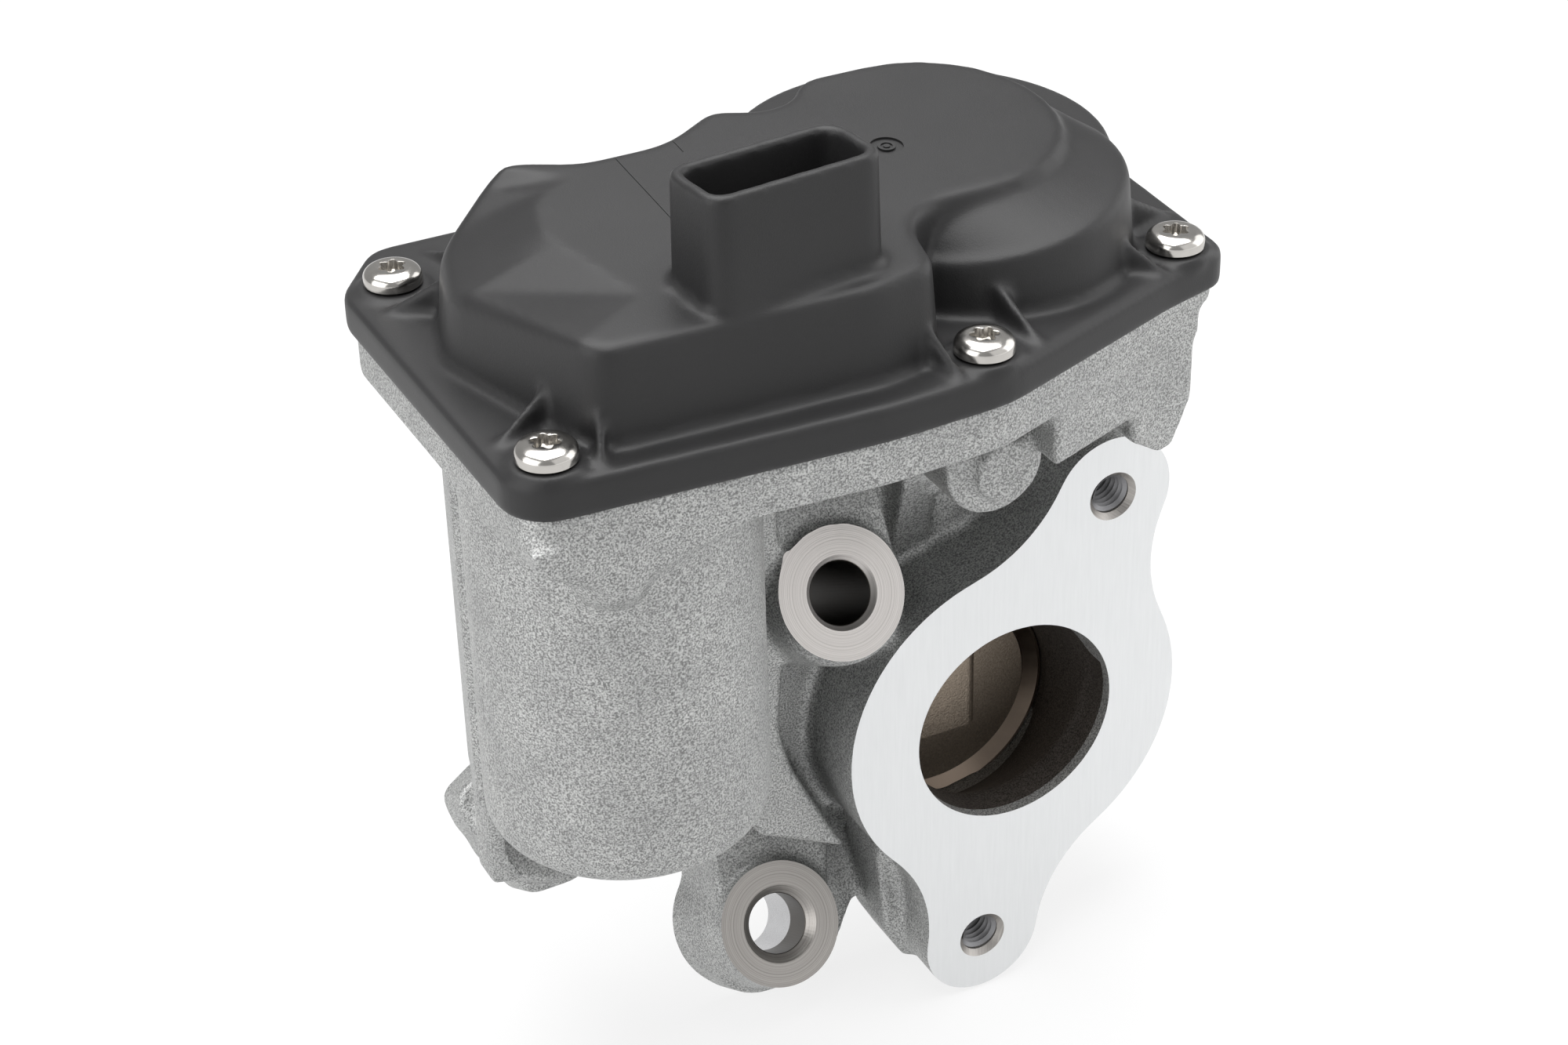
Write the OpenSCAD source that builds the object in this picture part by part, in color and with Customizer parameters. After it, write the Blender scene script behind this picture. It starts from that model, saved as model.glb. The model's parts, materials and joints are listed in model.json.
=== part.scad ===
// Motor-driven exhaust gas recirculation valve.
// Origin: centre of the front gas port, on the flange face. +X right, +Y into the valve, +Z up.

/* [Front flange] */
// Radius of the gas port in the front flange
port_r = 16; // [14:0.5:17]
// Length of the port's straight part
port_straight = 6; // [4:0.5:7]
// Radius of the flange's round middle
flange_disc_r = 27; // [25:0.5:29]
// Thickness of the front flange
flange_t = 13; // [10:0.5:15]
// Radius of the two flange lobes
lobe_r = 9.5; // [8:0.1:10.5]
// Radius of the hollow blends between disc and lobes
flange_blend_r = 22; // [16:1:40]
// Sideways place of the upper flange thread
upper_thread_x = 15.4; // [13:0.1:17]
// Height of the upper flange thread
upper_thread_z = 33.6; // [32:0.1:36]
// Sideways place of the lower flange thread
lower_thread_x = -5.1; // [-8:0.1:-2]
// Height of the lower flange thread
lower_thread_z = -37.5; // [-40:0.1:-36]
// Radius of the flange threads
flange_thread_r = 3; // [2.5:0.1:3.5]
// Depth of the flange threads
flange_thread_depth = 12; // [9:0.5:12.5]

/* [Gas passage] */
// Sideways place of the flap and of its shaft
shaft_x = -2.5; // [-3.5:0.1:-1.5]
// Depth of the flap shaft behind the flange face
shaft_y = 21; // [20:0.1:22]
// Height of the flap centre
seat_z = -6; // [-7:0.1:-5]
// Radius of the straight front bore's end, where the passage turns down
seat_mouth_r = 17.4; // [17:0.1:17.6]
// Depth of the seat sleeve's front edge
seat_front_y = 18; // [17.5:0.1:18.5]
// Ledge between the straight port and the cast passage
port_ledge = 0.4; // [0.3:0.1:0.6]
// Length of the seat sleeve
seat_len = 5.4; // [5:0.1:5.6]
// Outer radius of the seat sleeve
seat_r = 17.9; // [17.7:0.05:18.2]
// Wall of the seat sleeve
seat_wall = 2.5; // [2.3:0.01:2.6]
// Wall of the cast passage round the seat sleeve
passage_wall = 3.6; // [3:0.1:4.5]
// Radius of the rear gas port
rear_port_r = 16; // [15.8:0.1:16.5]

/* [Flap] */
// Play between the flap disc and the seat's bore
flap_play = 0.3; // [0.25:0.05:0.9]
// Thickness of the flap disc
flap_t = 3.5; // [3:0.1:4]
// Half width of the hub pad on the flap
hub_half_w = 5.5; // [5:0.1:6]
// How far the hub pad ends below the flap centre
hub_drop = 4.7; // [3:0.1:7]
// Width of the seal ring in the flap's edge
flap_ring_w = 1.4; // [1:0.1:1.8]
// Opening angle of the flap
open_angle = 70; // [40:1:72]
// Radius of the output shaft
shaft_r = 4; // [3.5:0.1:4.2]

/* [Rear mounting face] */
// Tilt of the rear face and of its bolts
tilt = 30; // [28:1:32]
// Distance of the rear face from the origin, along its own normal
rear_s = 38; // [37:0.5:40]
// Thickness of the rear plate
rear_plate_t = 8; // [6:0.5:10]
// Radius of the bolt bosses
boss_r = 9.4; // [8.8:0.1:9.8]
// Radius of the bolt holes
bolt_hole_r = 4.5; // [4.2:0.1:4.8]
// Sideways place of the upper bolt boss
upper_boss_x = -27; // [-28:0.1:-26.5]
// Upper bolt boss, place along the face
upper_boss_v = 26.5; // [26:0.1:28]
// Upper bolt boss, length from the rear face
upper_boss_len = 51; // [49:0.5:53]
// Sideways place of the lower bolt boss
lower_boss_x = -35; // [-36:0.1:-34]
// Lower bolt boss, place along the face
lower_boss_v = -21.6; // [-23:0.1:-20]
// Lower bolt boss, length from the rear face
lower_boss_len = 16.3; // [14:0.1:18]
// Sideways place of the left ear
ear_x = -64; // [-64.6:0.1:-63]
// Left ear, place along the face
ear_v = 3.2; // [2.6:0.1:4]
// Left ear, thickness
ear_t = 11; // [9:0.5:12]
// Sideways place of the right threaded boss
right_boss_x = 25; // [24:0.1:26]
// Right threaded boss, place along the face
right_boss_v = -6; // [-8:0.1:-4]
// Radius of the thread in the right boss
rear_thread_r = 4; // [3:0.1:4.2]
// Depth of the thread in the right boss
rear_thread_depth = 13; // [10:0.5:14]
// Outer radius of the dowel sleeve in the lower boss
dowel_r = 6.5; // [6:0.1:6.8]
// Length of the dowel sleeve's pocket
dowel_pocket = 9.3; // [7:0.1:10]

/* [Gear pan and cover plate] */
// Height of the joint between housing and cover
joint_z = 69.7; // [69.5:0.1:70.5]
// Thickness of the cover plate
plate_t = 5.3; // [4.8:0.1:6]
// Depth of the cast rim below the joint
rim_h = 8.5; // [8:0.1:9]
// Depth of the gear pan below the joint
pan_depth = 6.1; // [5.9:0.1:6.3]
// How far the cast rim stands back from the cover's edge
rim_step = 1.2; // [0.6:0.1:1.6]
// Width of the rim's flat top, from the cover's edge
rim_w = 5.6; // [5.3:0.1:5.8]
// Radius of the cover screws' shanks
screw_r = 2; // [1.8:0.05:2.1]
// Radius of the cover screws' heads
screw_head_r = 3.9; // [3.5:0.1:4.2]
// Height of the raised pads under the heads
pad_h = 0.7; // [0.4:0.1:1]
// Radius of the raised pads
pad_r = 4.8; // [4.5:0.1:5]

/* [Cover tower] */
// Height of the tower's front edge above the plate
tower_h = 13.2; // [12:0.1:15]
// Rise of the tower's top towards the rear, per millimetre
tower_slope = 0.09; // [0.05:0.01:0.12]
// Wall of the moulded cover
cover_wall = 2.4; // [2:0.1:2.8]
// Radius of the tower's upper edges
tower_edge_r = 1.4; // [1:0.1:3]
// Lean of the tower's walls, as inset at the top
tower_draft = 0.9; // [0.5:0.1:1.2]
// Height of the round low tier's rim above the plate
low_tier_h = 7.5; // [6:0.1:9]
// Radius of the round low tier
low_tier_r = 21.1; // [20:0.1:21.5]
// Height of the rear tier above the plate
rear_tier_h = 11; // [10:0.1:12]
// Radius of the rear tier
rear_tier_r = 27.1; // [26.5:0.1:27.4]
// Radius of the dome's top edge
dome_r = 19.2; // [18.5:0.1:19.8]

/* [Connector] */
// Length of the connector collar
collar_l = 25; // [24:0.1:26]
// Depth of the connector collar
collar_w = 12; // [11.5:0.1:13]
// Height of the collar's rim above the cover plate
collar_h = 28.8; // [26:0.1:30]
// Wall of the collar
collar_wall = 1.6; // [1.4:0.1:2]
// Turn of the collar about the vertical
collar_turn = 6; // [4:0.5:8]
// Number of terminals
terminal_count = 5; // [3:1:6]
// Spacing of the terminals
terminal_pitch = 3.6; // [3:0.1:3.7]

/* [Motor] */
// Sideways place of the motor axis
motor_x = -63; // [-63.2:0.1:-62.8]
// Depth of the motor axis
motor_y = -4; // [-4.2:0.1:-3.8]
// Outer radius of the cast barrel
barrel_r = 19.3; // [19:0.1:19.8]
// Height of the barrel's closed end
barrel_bottom_z = 10; // [8:0.5:11]
// Radius of the barrel's lower edge
barrel_edge_r = 4; // [3:0.5:5]
// Outer radius of the motor can
can_r = 16.2; // [15.8:0.1:16.3]
// Sheet thickness of the motor can
can_wall = 1.2; // [1:0.1:1.4]
// Length of the motor can
can_len = 41; // [39:0.5:41.5]
// Thickness of the magnets
magnet_t = 2.4; // [2:0.1:2.6]
// Air gap between the armature and the magnets
armature_gap = 0.6; // [0.5:0.1:1.1]
// Length of the armature's core
armature_len = 20; // [17:0.5:21]
// Radius of the commutator
commutator_r = 5; // [4.5:0.1:5.5]
// Radius of the motor shaft
motor_shaft_r = 1.6; // [1.4:0.1:1.8]

/* [Gears] */
// Module of the motor stage
fine_module = 0.75; // [0.748:0.001:0.752]
// Teeth of the motor pinion
motor_teeth = 12; // [12:1:12]
// Teeth of the intermediate wheel
wheel_teeth = 79; // [79:1:79]
// Module of the sector stage
coarse_module = 1; // [0.998:0.001:1.003]
// Teeth of the intermediate pinion
pinion_teeth = 13; // [13:1:13]
// Teeth of the sector, counted on the full circle
sector_teeth = 50; // [50:1:50]
// Thickness of the intermediate wheel
wheel_t = 4.2; // [3.5:0.1:4.4]
// Thickness of the sector
sector_t = 6; // [5:0.1:6.4]
// Play between tooth flanks
backlash = 0.14; // [0.1:0.01:0.2]
// Radius of the intermediate gear's pin
axle_r = 2; // [1.8:0.1:2.2]

/* [Shaft tower] */
// Outer radius of the cast shaft tower
tower_r = 9.6; // [9.4:0.1:10.5]
// Outer radius of the spring turret
turret_r = 14.2; // [13.8:0.1:15]
// Radius of the spring chamber
spring_room_r = 11.4; // [11.2:0.1:11.8]
// Wire radius of the return spring
wire_r = 0.7; // [0.5:0.05:0.8]
// Mean radius of the return spring
spring_r = 9.3; // [9:0.1:9.6]
// Number of coils in the return spring
spring_coils = 5; // [3:1:6]

/* [Fits] */
// Radial play of running fits
running_play = 0.04; // [0.02:0.01:0.08]
// Radial play of pieces that sit still in the housing
seating_play = 0.01; // [0.005:0.005:0.03]
// Gap between pieces that pass each other
gap = 0.6; // [0.4:0.1:0.7]

/* [Hidden] */
$fn = 64;

// Overlap of cutting shapes, and the turn of one outline step
cut = 1;
step_angle = 12;

// Levels
plate_z = joint_z + plate_t;
rim_z = joint_z - rim_h;
pan_z = joint_z - pan_depth;
wheel_top_z = joint_z - gap;
wheel_z = wheel_top_z - wheel_t;
sector_top_z = wheel_z - gap;
sector_z = sector_top_z - sector_t;
pocket_z = sector_z - gap;
pocket_floor = 3;

// Plan of the three axes
motor_at = [motor_x, motor_y];
shaft_at = [shaft_x, shaft_y];
pressure_angle = 20;
pinion_shift = 0.35;
stage_one = fine_module * (motor_teeth + wheel_teeth) / 2;
stage_two = coarse_module * (pinion_teeth + sector_teeth) / 2;
axle_at = meet(motor_at, stage_one, shaft_at, stage_two, 1);
axle_to_motor = heading(axle_at, motor_at);
axle_to_shaft = heading(axle_at, shaft_at);
shaft_to_axle = heading(shaft_at, axle_at);
wheel_tip_r = fine_module * (wheel_teeth / 2 + 1 - pinion_shift);
sector_tip_r = coarse_module * (sector_teeth / 2 + 1 - pinion_shift);
sector_margin = 9;

// Pieces that fit into one another
seat_bore_r = seat_r - seat_wall;
flap_r = seat_bore_r - flap_play;
armature_r = can_r - can_wall - magnet_t - armature_gap;

// Output shaft levels, from the flap up
shaft_bottom_z = seat_z - hub_drop + 1;
shaft_top_z = sector_top_z;
bush_z = seat_z + seat_r + passage_wall - 1;
bush_len = 9;
bush_r = shaft_r + 1.8;
bearing_z = bush_z + bush_len + 8;
bearing_len = 5;
bearing_r = 7.5;
seal_z = bearing_z + bearing_len;
seal_len = 3;
spring_room_z = seal_z + seal_len + 1;

// Cover screws: seen ones first, then the ones behind the tower
screws = [[-76.6, 33.2], [-77.2, -19.3], [-18.5, -21.3], [18.3, -8.2], [21.5, 41.5], [-22.9, 44.9]];

// Outline of the cover plate: corners with their radii
plate_corners = [[-83.3, -24.2, 6.5], [-34, -27, 24], [-17, -26, 16], [14, -14.1, 16],
    [25.2, -10.9, 4.5], [27.2, 34, 13], [17, 50.4, 8], [-33, 50.4, 14], [-46, 45.9, 12],
    [-75.4, 45.9, 5.5], [-83.3, 35.4, 7.5]];

// Outline of the tower's foot: corners with their radii
dome_at = [-7.5, 13];
tower_corners = [[-71.2, -20.3, 5.5], [-33, -21.8, 14], [-23, -19.5, 5], [-20.5, dome_at.y - dome_r, 7],
    [dome_at.x + dome_r, dome_at.y - dome_r, dome_r - 0.1],
    [dome_at.x + dome_r, dome_at.y + dome_r, dome_r - 0.1], [-17.5, dome_at.y + dome_r, 6],
    [-23, 25.6, 6], [-32, 29.8, 5], [-41.4, 24.2, 12], [-53, 24.2, 10], [-63, 29, 9],
    [-75, 22.5, 9], [-79, 9.5, 12]];
tower_heart = [-35, 5];
fold_from = [-74.9, -7.2];
fold_to = [-59.3, 35.4];
fold_drop = 0.8;
low_tier_at = [-4, 6];
rear_tier_at = [-5.9, 18.6];

// Collar place on the tower
collar_at = [-42.5, -12];
collar_r = 3;

// Screw and small hardware sizes
screw_reach = 12;
screw_head_h = 2.6;
screw_hole_play = 0.2;
torx_r = 1.9;

// Geometry helpers
function unit(v) = v / norm(v);
function heading(a, b) = atan2(b.y - a.y, b.x - a.x);
function ray(c, r, a) = c + r * [cos(a), sin(a)];
function short_turn(d) = (d + 900) % 360 - 180;
function meet(a, ra, b, rb, side) =
    let(d = norm(b - a), along = (ra * ra - rb * rb + d * d) / (2 * d))
    let(up = sqrt(max(0, ra * ra - along * along)), u = (b - a) / d)
    a + along * u + side * up * [-u.y, u.x];

// Arc about c from the heading of p to the heading of q
function turn(c, r, p, q, left) =
    let(from = heading(c, p), raw = heading(c, q) - from)
    let(sweep = left ? (raw + 720) % 360 : -((720 - raw) % 360))
    let(n = max(2, ceil(abs(sweep) / 6)))
    [for (i = [0:n]) ray(c, r, from + sweep * i / n)];

// One rounded corner of an outline
function corner(a, b, c, r, detail) =
    let(u = unit(a - b), v = unit(c - b), half = acos(u * v) / 2)
    let(middle = b + unit(u + v) * r / sin(half), p = b + u * r / tan(half), q = b + v * r / tan(half))
    let(from = heading(middle, p), sweep = short_turn(heading(middle, q) - from))
    let(n = max(1, ceil(abs(sweep) / detail - 0.01)))
    [for (i = [0:n]) ray(middle, r, from + sweep * i / n)];
function flat(p) = [p.x, p.y];
function rounded(list, detail = step_angle) =
    let(n = len(list))
    [for (i = [0:n - 1])
        each corner(flat(list[(i + n - 1) % n]), flat(list[i]), flat(list[(i + 1) % n]), list[i][2], detail)];

// Outline moved inwards, point by point
function inset(points, d) =
    let(n = len(points))
    [for (i = [0:n - 1])
        let(v = unit(points[(i + 1) % n] - points[(i + n - 1) % n]))
        points[i] + d * [-v.y, v.x]];

// Corner list moved inwards, with each radius changed to match
function left_of(v) = [-v.y, v.x];
function inner_corners(list, d) =
    let(n = len(list))
    [for (i = [0:n - 1])
        let(u = unit(flat(list[i]) - flat(list[(i + n - 1) % n])), v = unit(flat(list[(i + 1) % n]) - flat(list[i])))
        let(m = (left_of(u) + left_of(v)) / (1 + u * v), outer = cross(u, v) > 0)
        [list[i].x + d * m.x, list[i].y + d * m.y, max(1, list[i][2] + (outer ? -d : d))]];
function shrink(points, c, k) = [for (p = points) c + k * (p - c)];
function lift(points, z) = [for (p = points) [p.x, p.y, z]];
function circle_points(c, r, n) = [for (i = [0:n - 1]) ray(c, r, 360 * i / n)];

// Closed body through a stack of rings with equal counts
module loft(rings) {
    n = len(rings[0]);
    last = (len(rings) - 1) * n;
    sides = [for (k = [0:len(rings) - 2], i = [0:n - 1])
        let(a = k * n + i, b = k * n + (i + 1) % n)
        each [[a, a + n, b + n], [a, b + n, b]]];
    lower = [for (i = [0:n - 1]) i];
    upper = [for (i = [n - 1:-1:0]) last + i];
    polyhedron([for (r = rings) each r], concat(sides, [lower, upper]));
}

// Upright shapes laid along Y, and shapes in the tilted frame of the rear face
module along_y(y) {
    translate([0, y, 0])
        rotate([-90, 0, 0])
            children();
}
module front_extrude(y_from, y_to) {
    translate([0, y_to, 0])
        rotate([90, 0, 0])
            linear_extrude(y_to - y_from)
                children();
}
module side_extrude(x_from, x_to) {
    translate([x_from, 0, 0])
        rotate([90, 0, 90])
            linear_extrude(x_to - x_from)
                children();
}
module rear_frame(x, v, s) {
    rotate([-90 - tilt, 0, 0])
        translate([x, -v, s])
            children();
}
module tube(r_out, r_in, h) {
    rotate_extrude()
        translate([r_in, 0])
            square([r_out - r_in, h]);
}
module at(p, z) {
    translate([p.x, p.y, z])
        children();
}

// Gear tooth outline, with true involute flanks
function involute(a) = tan(a) * 180 / PI - a;
function flank(r, m, z, shift) =
    let(base = m * z / 2 * cos(pressure_angle), a = r > base ? acos(base / r) : 0)
    let(half = 90 / z + (2 * shift * tan(pressure_angle) - backlash / m / 2) * 180 / PI / z)
    half + involute(pressure_angle) - involute(a);
function tooth(m, z, shift, at_angle) =
    let(base = m * z / 2 * cos(pressure_angle))
    let(tip = m * (z / 2 + 0.95 + shift), root = m * (z / 2 - 1.25 + shift))
    let(low = max(base, root + 0.1 * m), radii = [root, low, low + (tip - low) / 3, low + (tip - low) * 2 / 3, tip])
    concat([for (r = radii) ray([0, 0], r, at_angle - flank(r, m, z, shift))],
        [for (i = [4:-1:0]) ray([0, 0], radii[i], at_angle + flank(radii[i], m, z, shift))]);
module gear_outline(m, z, shift, phase) {
    polygon([for (k = [0:z - 1]) each tooth(m, z, shift, phase + 360 * k / z)]);
}

// Front flange outline: round middle and two lobes, joined by hollow blends
upper_thread_at = [upper_thread_x, upper_thread_z];
lower_thread_at = [lower_thread_x, lower_thread_z];
module flange_outline() {
    o = [0, 0];
    near = flange_disc_r + flange_blend_r;
    far = lobe_r + flange_blend_r;
    up_left = meet(o, near, upper_thread_at, far, 1);
    up_right = meet(o, near, upper_thread_at, far, -1);
    low_right = meet(o, near, lower_thread_at, far, 1);
    low_left = meet(o, near, lower_thread_at, far, -1);
    polygon(concat(
        turn(o, flange_disc_r, low_right, up_right, true),
        turn(up_right, flange_blend_r, o, upper_thread_at, false),
        turn(upper_thread_at, lobe_r, up_right, up_left, true),
        turn(up_left, flange_blend_r, upper_thread_at, o, false),
        turn(o, flange_disc_r, up_left, low_left, true),
        turn(low_left, flange_blend_r, o, lower_thread_at, false),
        turn(lower_thread_at, lobe_r, low_left, low_right, true),
        turn(low_right, flange_blend_r, lower_thread_at, o, false)));
}

// Rear face outline, seen along the bolts: corners with their radii
rear_corners = [[-69, 13.2, 4], [-75.6, 9.6, 2.5], [-74.6, 4.6, 3], [-68.6, -7.6, 3], [-60, -7.4, 4],
    [-50, 5, 5], [-41, -7.5, 3], [lower_boss_x - boss_r - 0.3, lower_boss_v, 8],
    [lower_boss_x - boss_r + 0.9, lower_boss_v - boss_r - 1.5, 8],
    [lower_boss_x + boss_r - 1, lower_boss_v - boss_r - 1.5, 8], [-14, -16, 8],
    [right_boss_x + boss_r, right_boss_v - boss_r, boss_r - 0.2],
    [right_boss_x + boss_r, right_boss_v + boss_r, boss_r - 0.2], [22, 24, 10], [4, 31, 10],
    [upper_boss_x + boss_r, upper_boss_v + boss_r, boss_r - 0.2],
    [upper_boss_x - boss_r, upper_boss_v + boss_r, boss_r - 0.2], [-39, 11, 6]];
module rear_outline() {
    polygon([for (p = rounded(rear_corners)) [p.x, -p.y]]);
}

plate_points = rounded(plate_corners, 9);
function plate_inside(d) = rounded(inner_corners(plate_corners, d), 9);
tower_points = rounded(tower_corners, 14);

// Cast housing
rear_port_start_y = shaft_y + 7.6;
module motor_barrel() {
    r = barrel_edge_r;
    at(motor_at, barrel_bottom_z)
        rotate_extrude()
            polygon(concat([[0, 0]],
                [for (a = [-90:15:0]) [barrel_r - r + r * cos(a), r + r * sin(a)]],
                [[barrel_r, rim_z + 1 - barrel_bottom_z], [0, rim_z + 1 - barrel_bottom_z]]));
}
skirt_z = 55;
lip_h = 6.8;
seal_lip = 2.6;
pillar_x = 20.6;
module gear_pan() {
    translate([0, 0, rim_z])
        linear_extrude(rim_h)
            polygon(plate_inside(rim_step + 3));
    translate([0, 0, joint_z - lip_h])
        linear_extrude(lip_h)
            intersection() {
                polygon(plate_inside(rim_step));
                translate([-100, -50])
                    square([100 + pillar_x + 0.6, 120]);
            }
    translate([0, 0, joint_z - seal_lip])
        linear_extrude(seal_lip)
            polygon(plate_inside(rim_step));
    translate([0, 0, pocket_z - pocket_floor])
        linear_extrude(rim_z + 1 - pocket_z + pocket_floor)
            intersection() {
                polygon(plate_inside(rim_step + 1));
                sector_room(3);
            }
    translate([0, 0, skirt_z])
        linear_extrude(rim_z + 1 - skirt_z)
            intersection() {
                polygon(plate_inside(rim_step + 0.3));
                translate([-7, -30])
                    square([21, 22]);
            }
    at(axle_at, pocket_z - 9)
        cylinder(r = 7, h = 10);
    for (p = [screws[4], screws[5]])
        at(p, joint_z - screw_reach - 1.5)
            intersection() {
                cylinder(r = 4.6, h = screw_reach);
                translate([-p.x, -p.y, 0])
                    linear_extrude(screw_reach)
                        polygon(plate_inside(rim_step + 0.1));
            }
}
// Room that the sector sweeps, in plan, with a margin round it
module sector_room(margin) {
    r = sector_tip_r + gap + margin;
    from = shaft_to_axle - open_angle - sector_margin - 4;
    to = shaft_to_axle + open_angle + sector_margin + 4;
    n = 14;
    translate(shaft_at) {
        polygon(concat([[0, 0]], [for (i = [0:n]) ray([0, 0], r, from + (to - from) * i / n)]));
        circle(r = spring_room_r + margin);
    }
    translate(axle_at)
        circle(r = coarse_module * (pinion_teeth / 2 + 1.4) + gap + margin);
}
module passage_body() {
    along_y(0)
        translate([shaft_x, -seat_z, 2])
            cylinder(r = seat_r + passage_wall, h = shaft_y + 6);
    rear_frame(shaft_x, port_v, 14)
        cylinder(r = rear_port_r + 5.5, h = rear_s - 14);
    at(shaft_at, 0)
        cylinder(r = tower_r, h = spring_room_z + 2);
    at(shaft_at, spring_room_z - 4)
        cylinder(r = turret_r, h = pocket_z - spring_room_z + 3);
}
module bolt_bosses() {
    rear_frame(upper_boss_x, upper_boss_v, rear_s - upper_boss_len)
        cylinder(r = boss_r, h = upper_boss_len);
    rear_frame(lower_boss_x, lower_boss_v, rear_s - lower_boss_len)
        cylinder(r1 = boss_r, r2 = boss_r + 1.6, h = lower_boss_len);
    rear_frame(0, 0, rear_s - lower_boss_len + 2)
        linear_extrude(lower_boss_len - 3)
            polygon([[lower_boss_x - boss_r + 0.2, -lower_boss_v], [-41, 6], [-30, 1], [-22, 7],
                [lower_boss_x + boss_r - 0.2, -lower_boss_v]]);
    rear_frame(ear_x, ear_v, rear_s - ear_t)
        cylinder(r = boss_r, h = ear_t);
    rear_frame(right_boss_x, right_boss_v, rear_s - rear_thread_depth - 3)
        cylinder(r = boss_r, h = rear_thread_depth + 3);
    rear_frame(0, 0, rear_s - rear_plate_t)
        linear_extrude(rear_plate_t)
            rear_outline();
    neck_half_w = 10.2;
    neck_step = 1;
    rear_frame(upper_boss_x, 0, rear_s - upper_boss_len + neck_step)
        linear_extrude(14) {
            translate([0, -upper_boss_v])
                circle(r = neck_half_w);
            translate([-neck_half_w + 0.4, -62])
                square([2 * neck_half_w - 0.8, 62 - upper_boss_v]);
        }
}
module casting_walls() {
    front_extrude(6, 14)
        polygon([[-50, rim_z + 1], [-34.4, rim_z + 1], [-34.4, 13], [-35, 6.8], [-33.2, -0.6],
            [-29.2, -8.9], [-24.7, -17.9], [-38.5, -11], [-50, 14]]);
    front_extrude(13, 20.5)
        polygon([[-51, rim_z + 0.9], [-12, rim_z + 0.9], [-12, -2], [-25.4, -16.8], [-38, -10], [-51, 14]]);
    translate([0, 0, -13])
        linear_extrude(rim_z + 14)
            polygon([[-76, 16.5], [-76, 22], [-71.4, 29], [-56.6, 29], [-48.5, 12.6], [-58, 11]]);
    side_extrude(-68, -62)
        polygon([[12, rim_z + 1], [36, rim_z + 1], [36, -8], [28, -16], [20, -14], [12, 10]]);
    side_extrude(0.6, 13.4)
        polygon([[-11, rim_z + 1], [-11, 53.6], [-7.5, 50.6], [6, 44.4], [23, 42], [23, rim_z + 1]]);
    side_extrude(-14, -8)
        polygon([[8, 40], [20, rim_z], [40, rim_z + 1], [42, 10], [20, 0]]);
}
module front_details() {
    lug_z = 52.3;
    lug_x = -10.9;
    front_extrude(-12, 4) {
        translate([lug_x, lug_z])
            circle(r = 7.4);
        polygon([[-19.2, rim_z + 1], [-18.2, 50.5], [-14, 46], [-8, 45.6], [-3.6, 52], [-2.5, rim_z + 1]]);
    }
    front_extrude(-13, -11)
        translate([-10.1, lug_z])
            circle(r = 4.7);
    intersection() {
        front_extrude(-20, 4)
            polygon([[9, rim_z + 1], [9, 51], [14.8, 46.9], [17.2, 47.3], [pillar_x, 53.4], [pillar_x, rim_z + 1]]);
        translate([0, 0, 40])
            linear_extrude(30)
                polygon(plate_inside(rim_step + 0.3));
    }
    side_extrude(12.6, 20.1)
        polygon([[3.4, rim_z + 1], [3.4, 46.6], [8, 42.4], [24, 41.4], [24, rim_z + 1]]);
    key_r = 5.2;
    at([-69.8, -19.8], 58.7)
        rotate_extrude()
            polygon(concat([[0, 5]], [for (a = [-90:15:0]) key_r * [cos(a), sin(a)]], [[key_r, 5]]));
}
// Height of the rear port axis along the rear face
port_v = rear_port_start_y * sin(tilt) + seat_z * cos(tilt);
module gas_passage() {
    along_y(-cut)
        cylinder(r = port_r, h = port_straight + cut);
    hull() {
        along_y(port_straight - 0.01)
            cylinder(r = port_r - port_ledge, h = 0.01, $fn = 48);
        along_y(seat_front_y - 1)
            translate([shaft_x, -seat_z, 0])
                cylinder(r = seat_mouth_r, h = 0.01, $fn = 48);
    }
    along_y(seat_front_y - 1.5)
        translate([shaft_x, -seat_z, 0])
            cylinder(r = seat_r, h = seat_len + 1.5);
    along_y(seat_front_y)
        translate([shaft_x, -seat_z, 0])
            cylinder(r = rear_port_r, h = rear_port_start_y - seat_front_y);
    translate([shaft_x, rear_port_start_y, seat_z])
        sphere(r = rear_port_r + 0.4);
    rear_frame(shaft_x, port_v, rear_port_start_y * cos(tilt) - seat_z * sin(tilt))
        cylinder(r = rear_port_r, h = rear_s);
}
module shaft_bores() {
    at(shaft_at, seat_z)
        cylinder(r = shaft_r + 0.3, h = spring_room_z - seat_z);
    at(shaft_at, bush_z)
        cylinder(r = bush_r + seating_play, h = bush_len + 10);
    at(shaft_at, bearing_z)
        cylinder(r = bearing_r + seating_play, h = spring_room_z - bearing_z + cut);
    at(shaft_at, spring_room_z)
        cylinder(r = spring_room_r, h = pocket_z - spring_room_z + cut);
}
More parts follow.
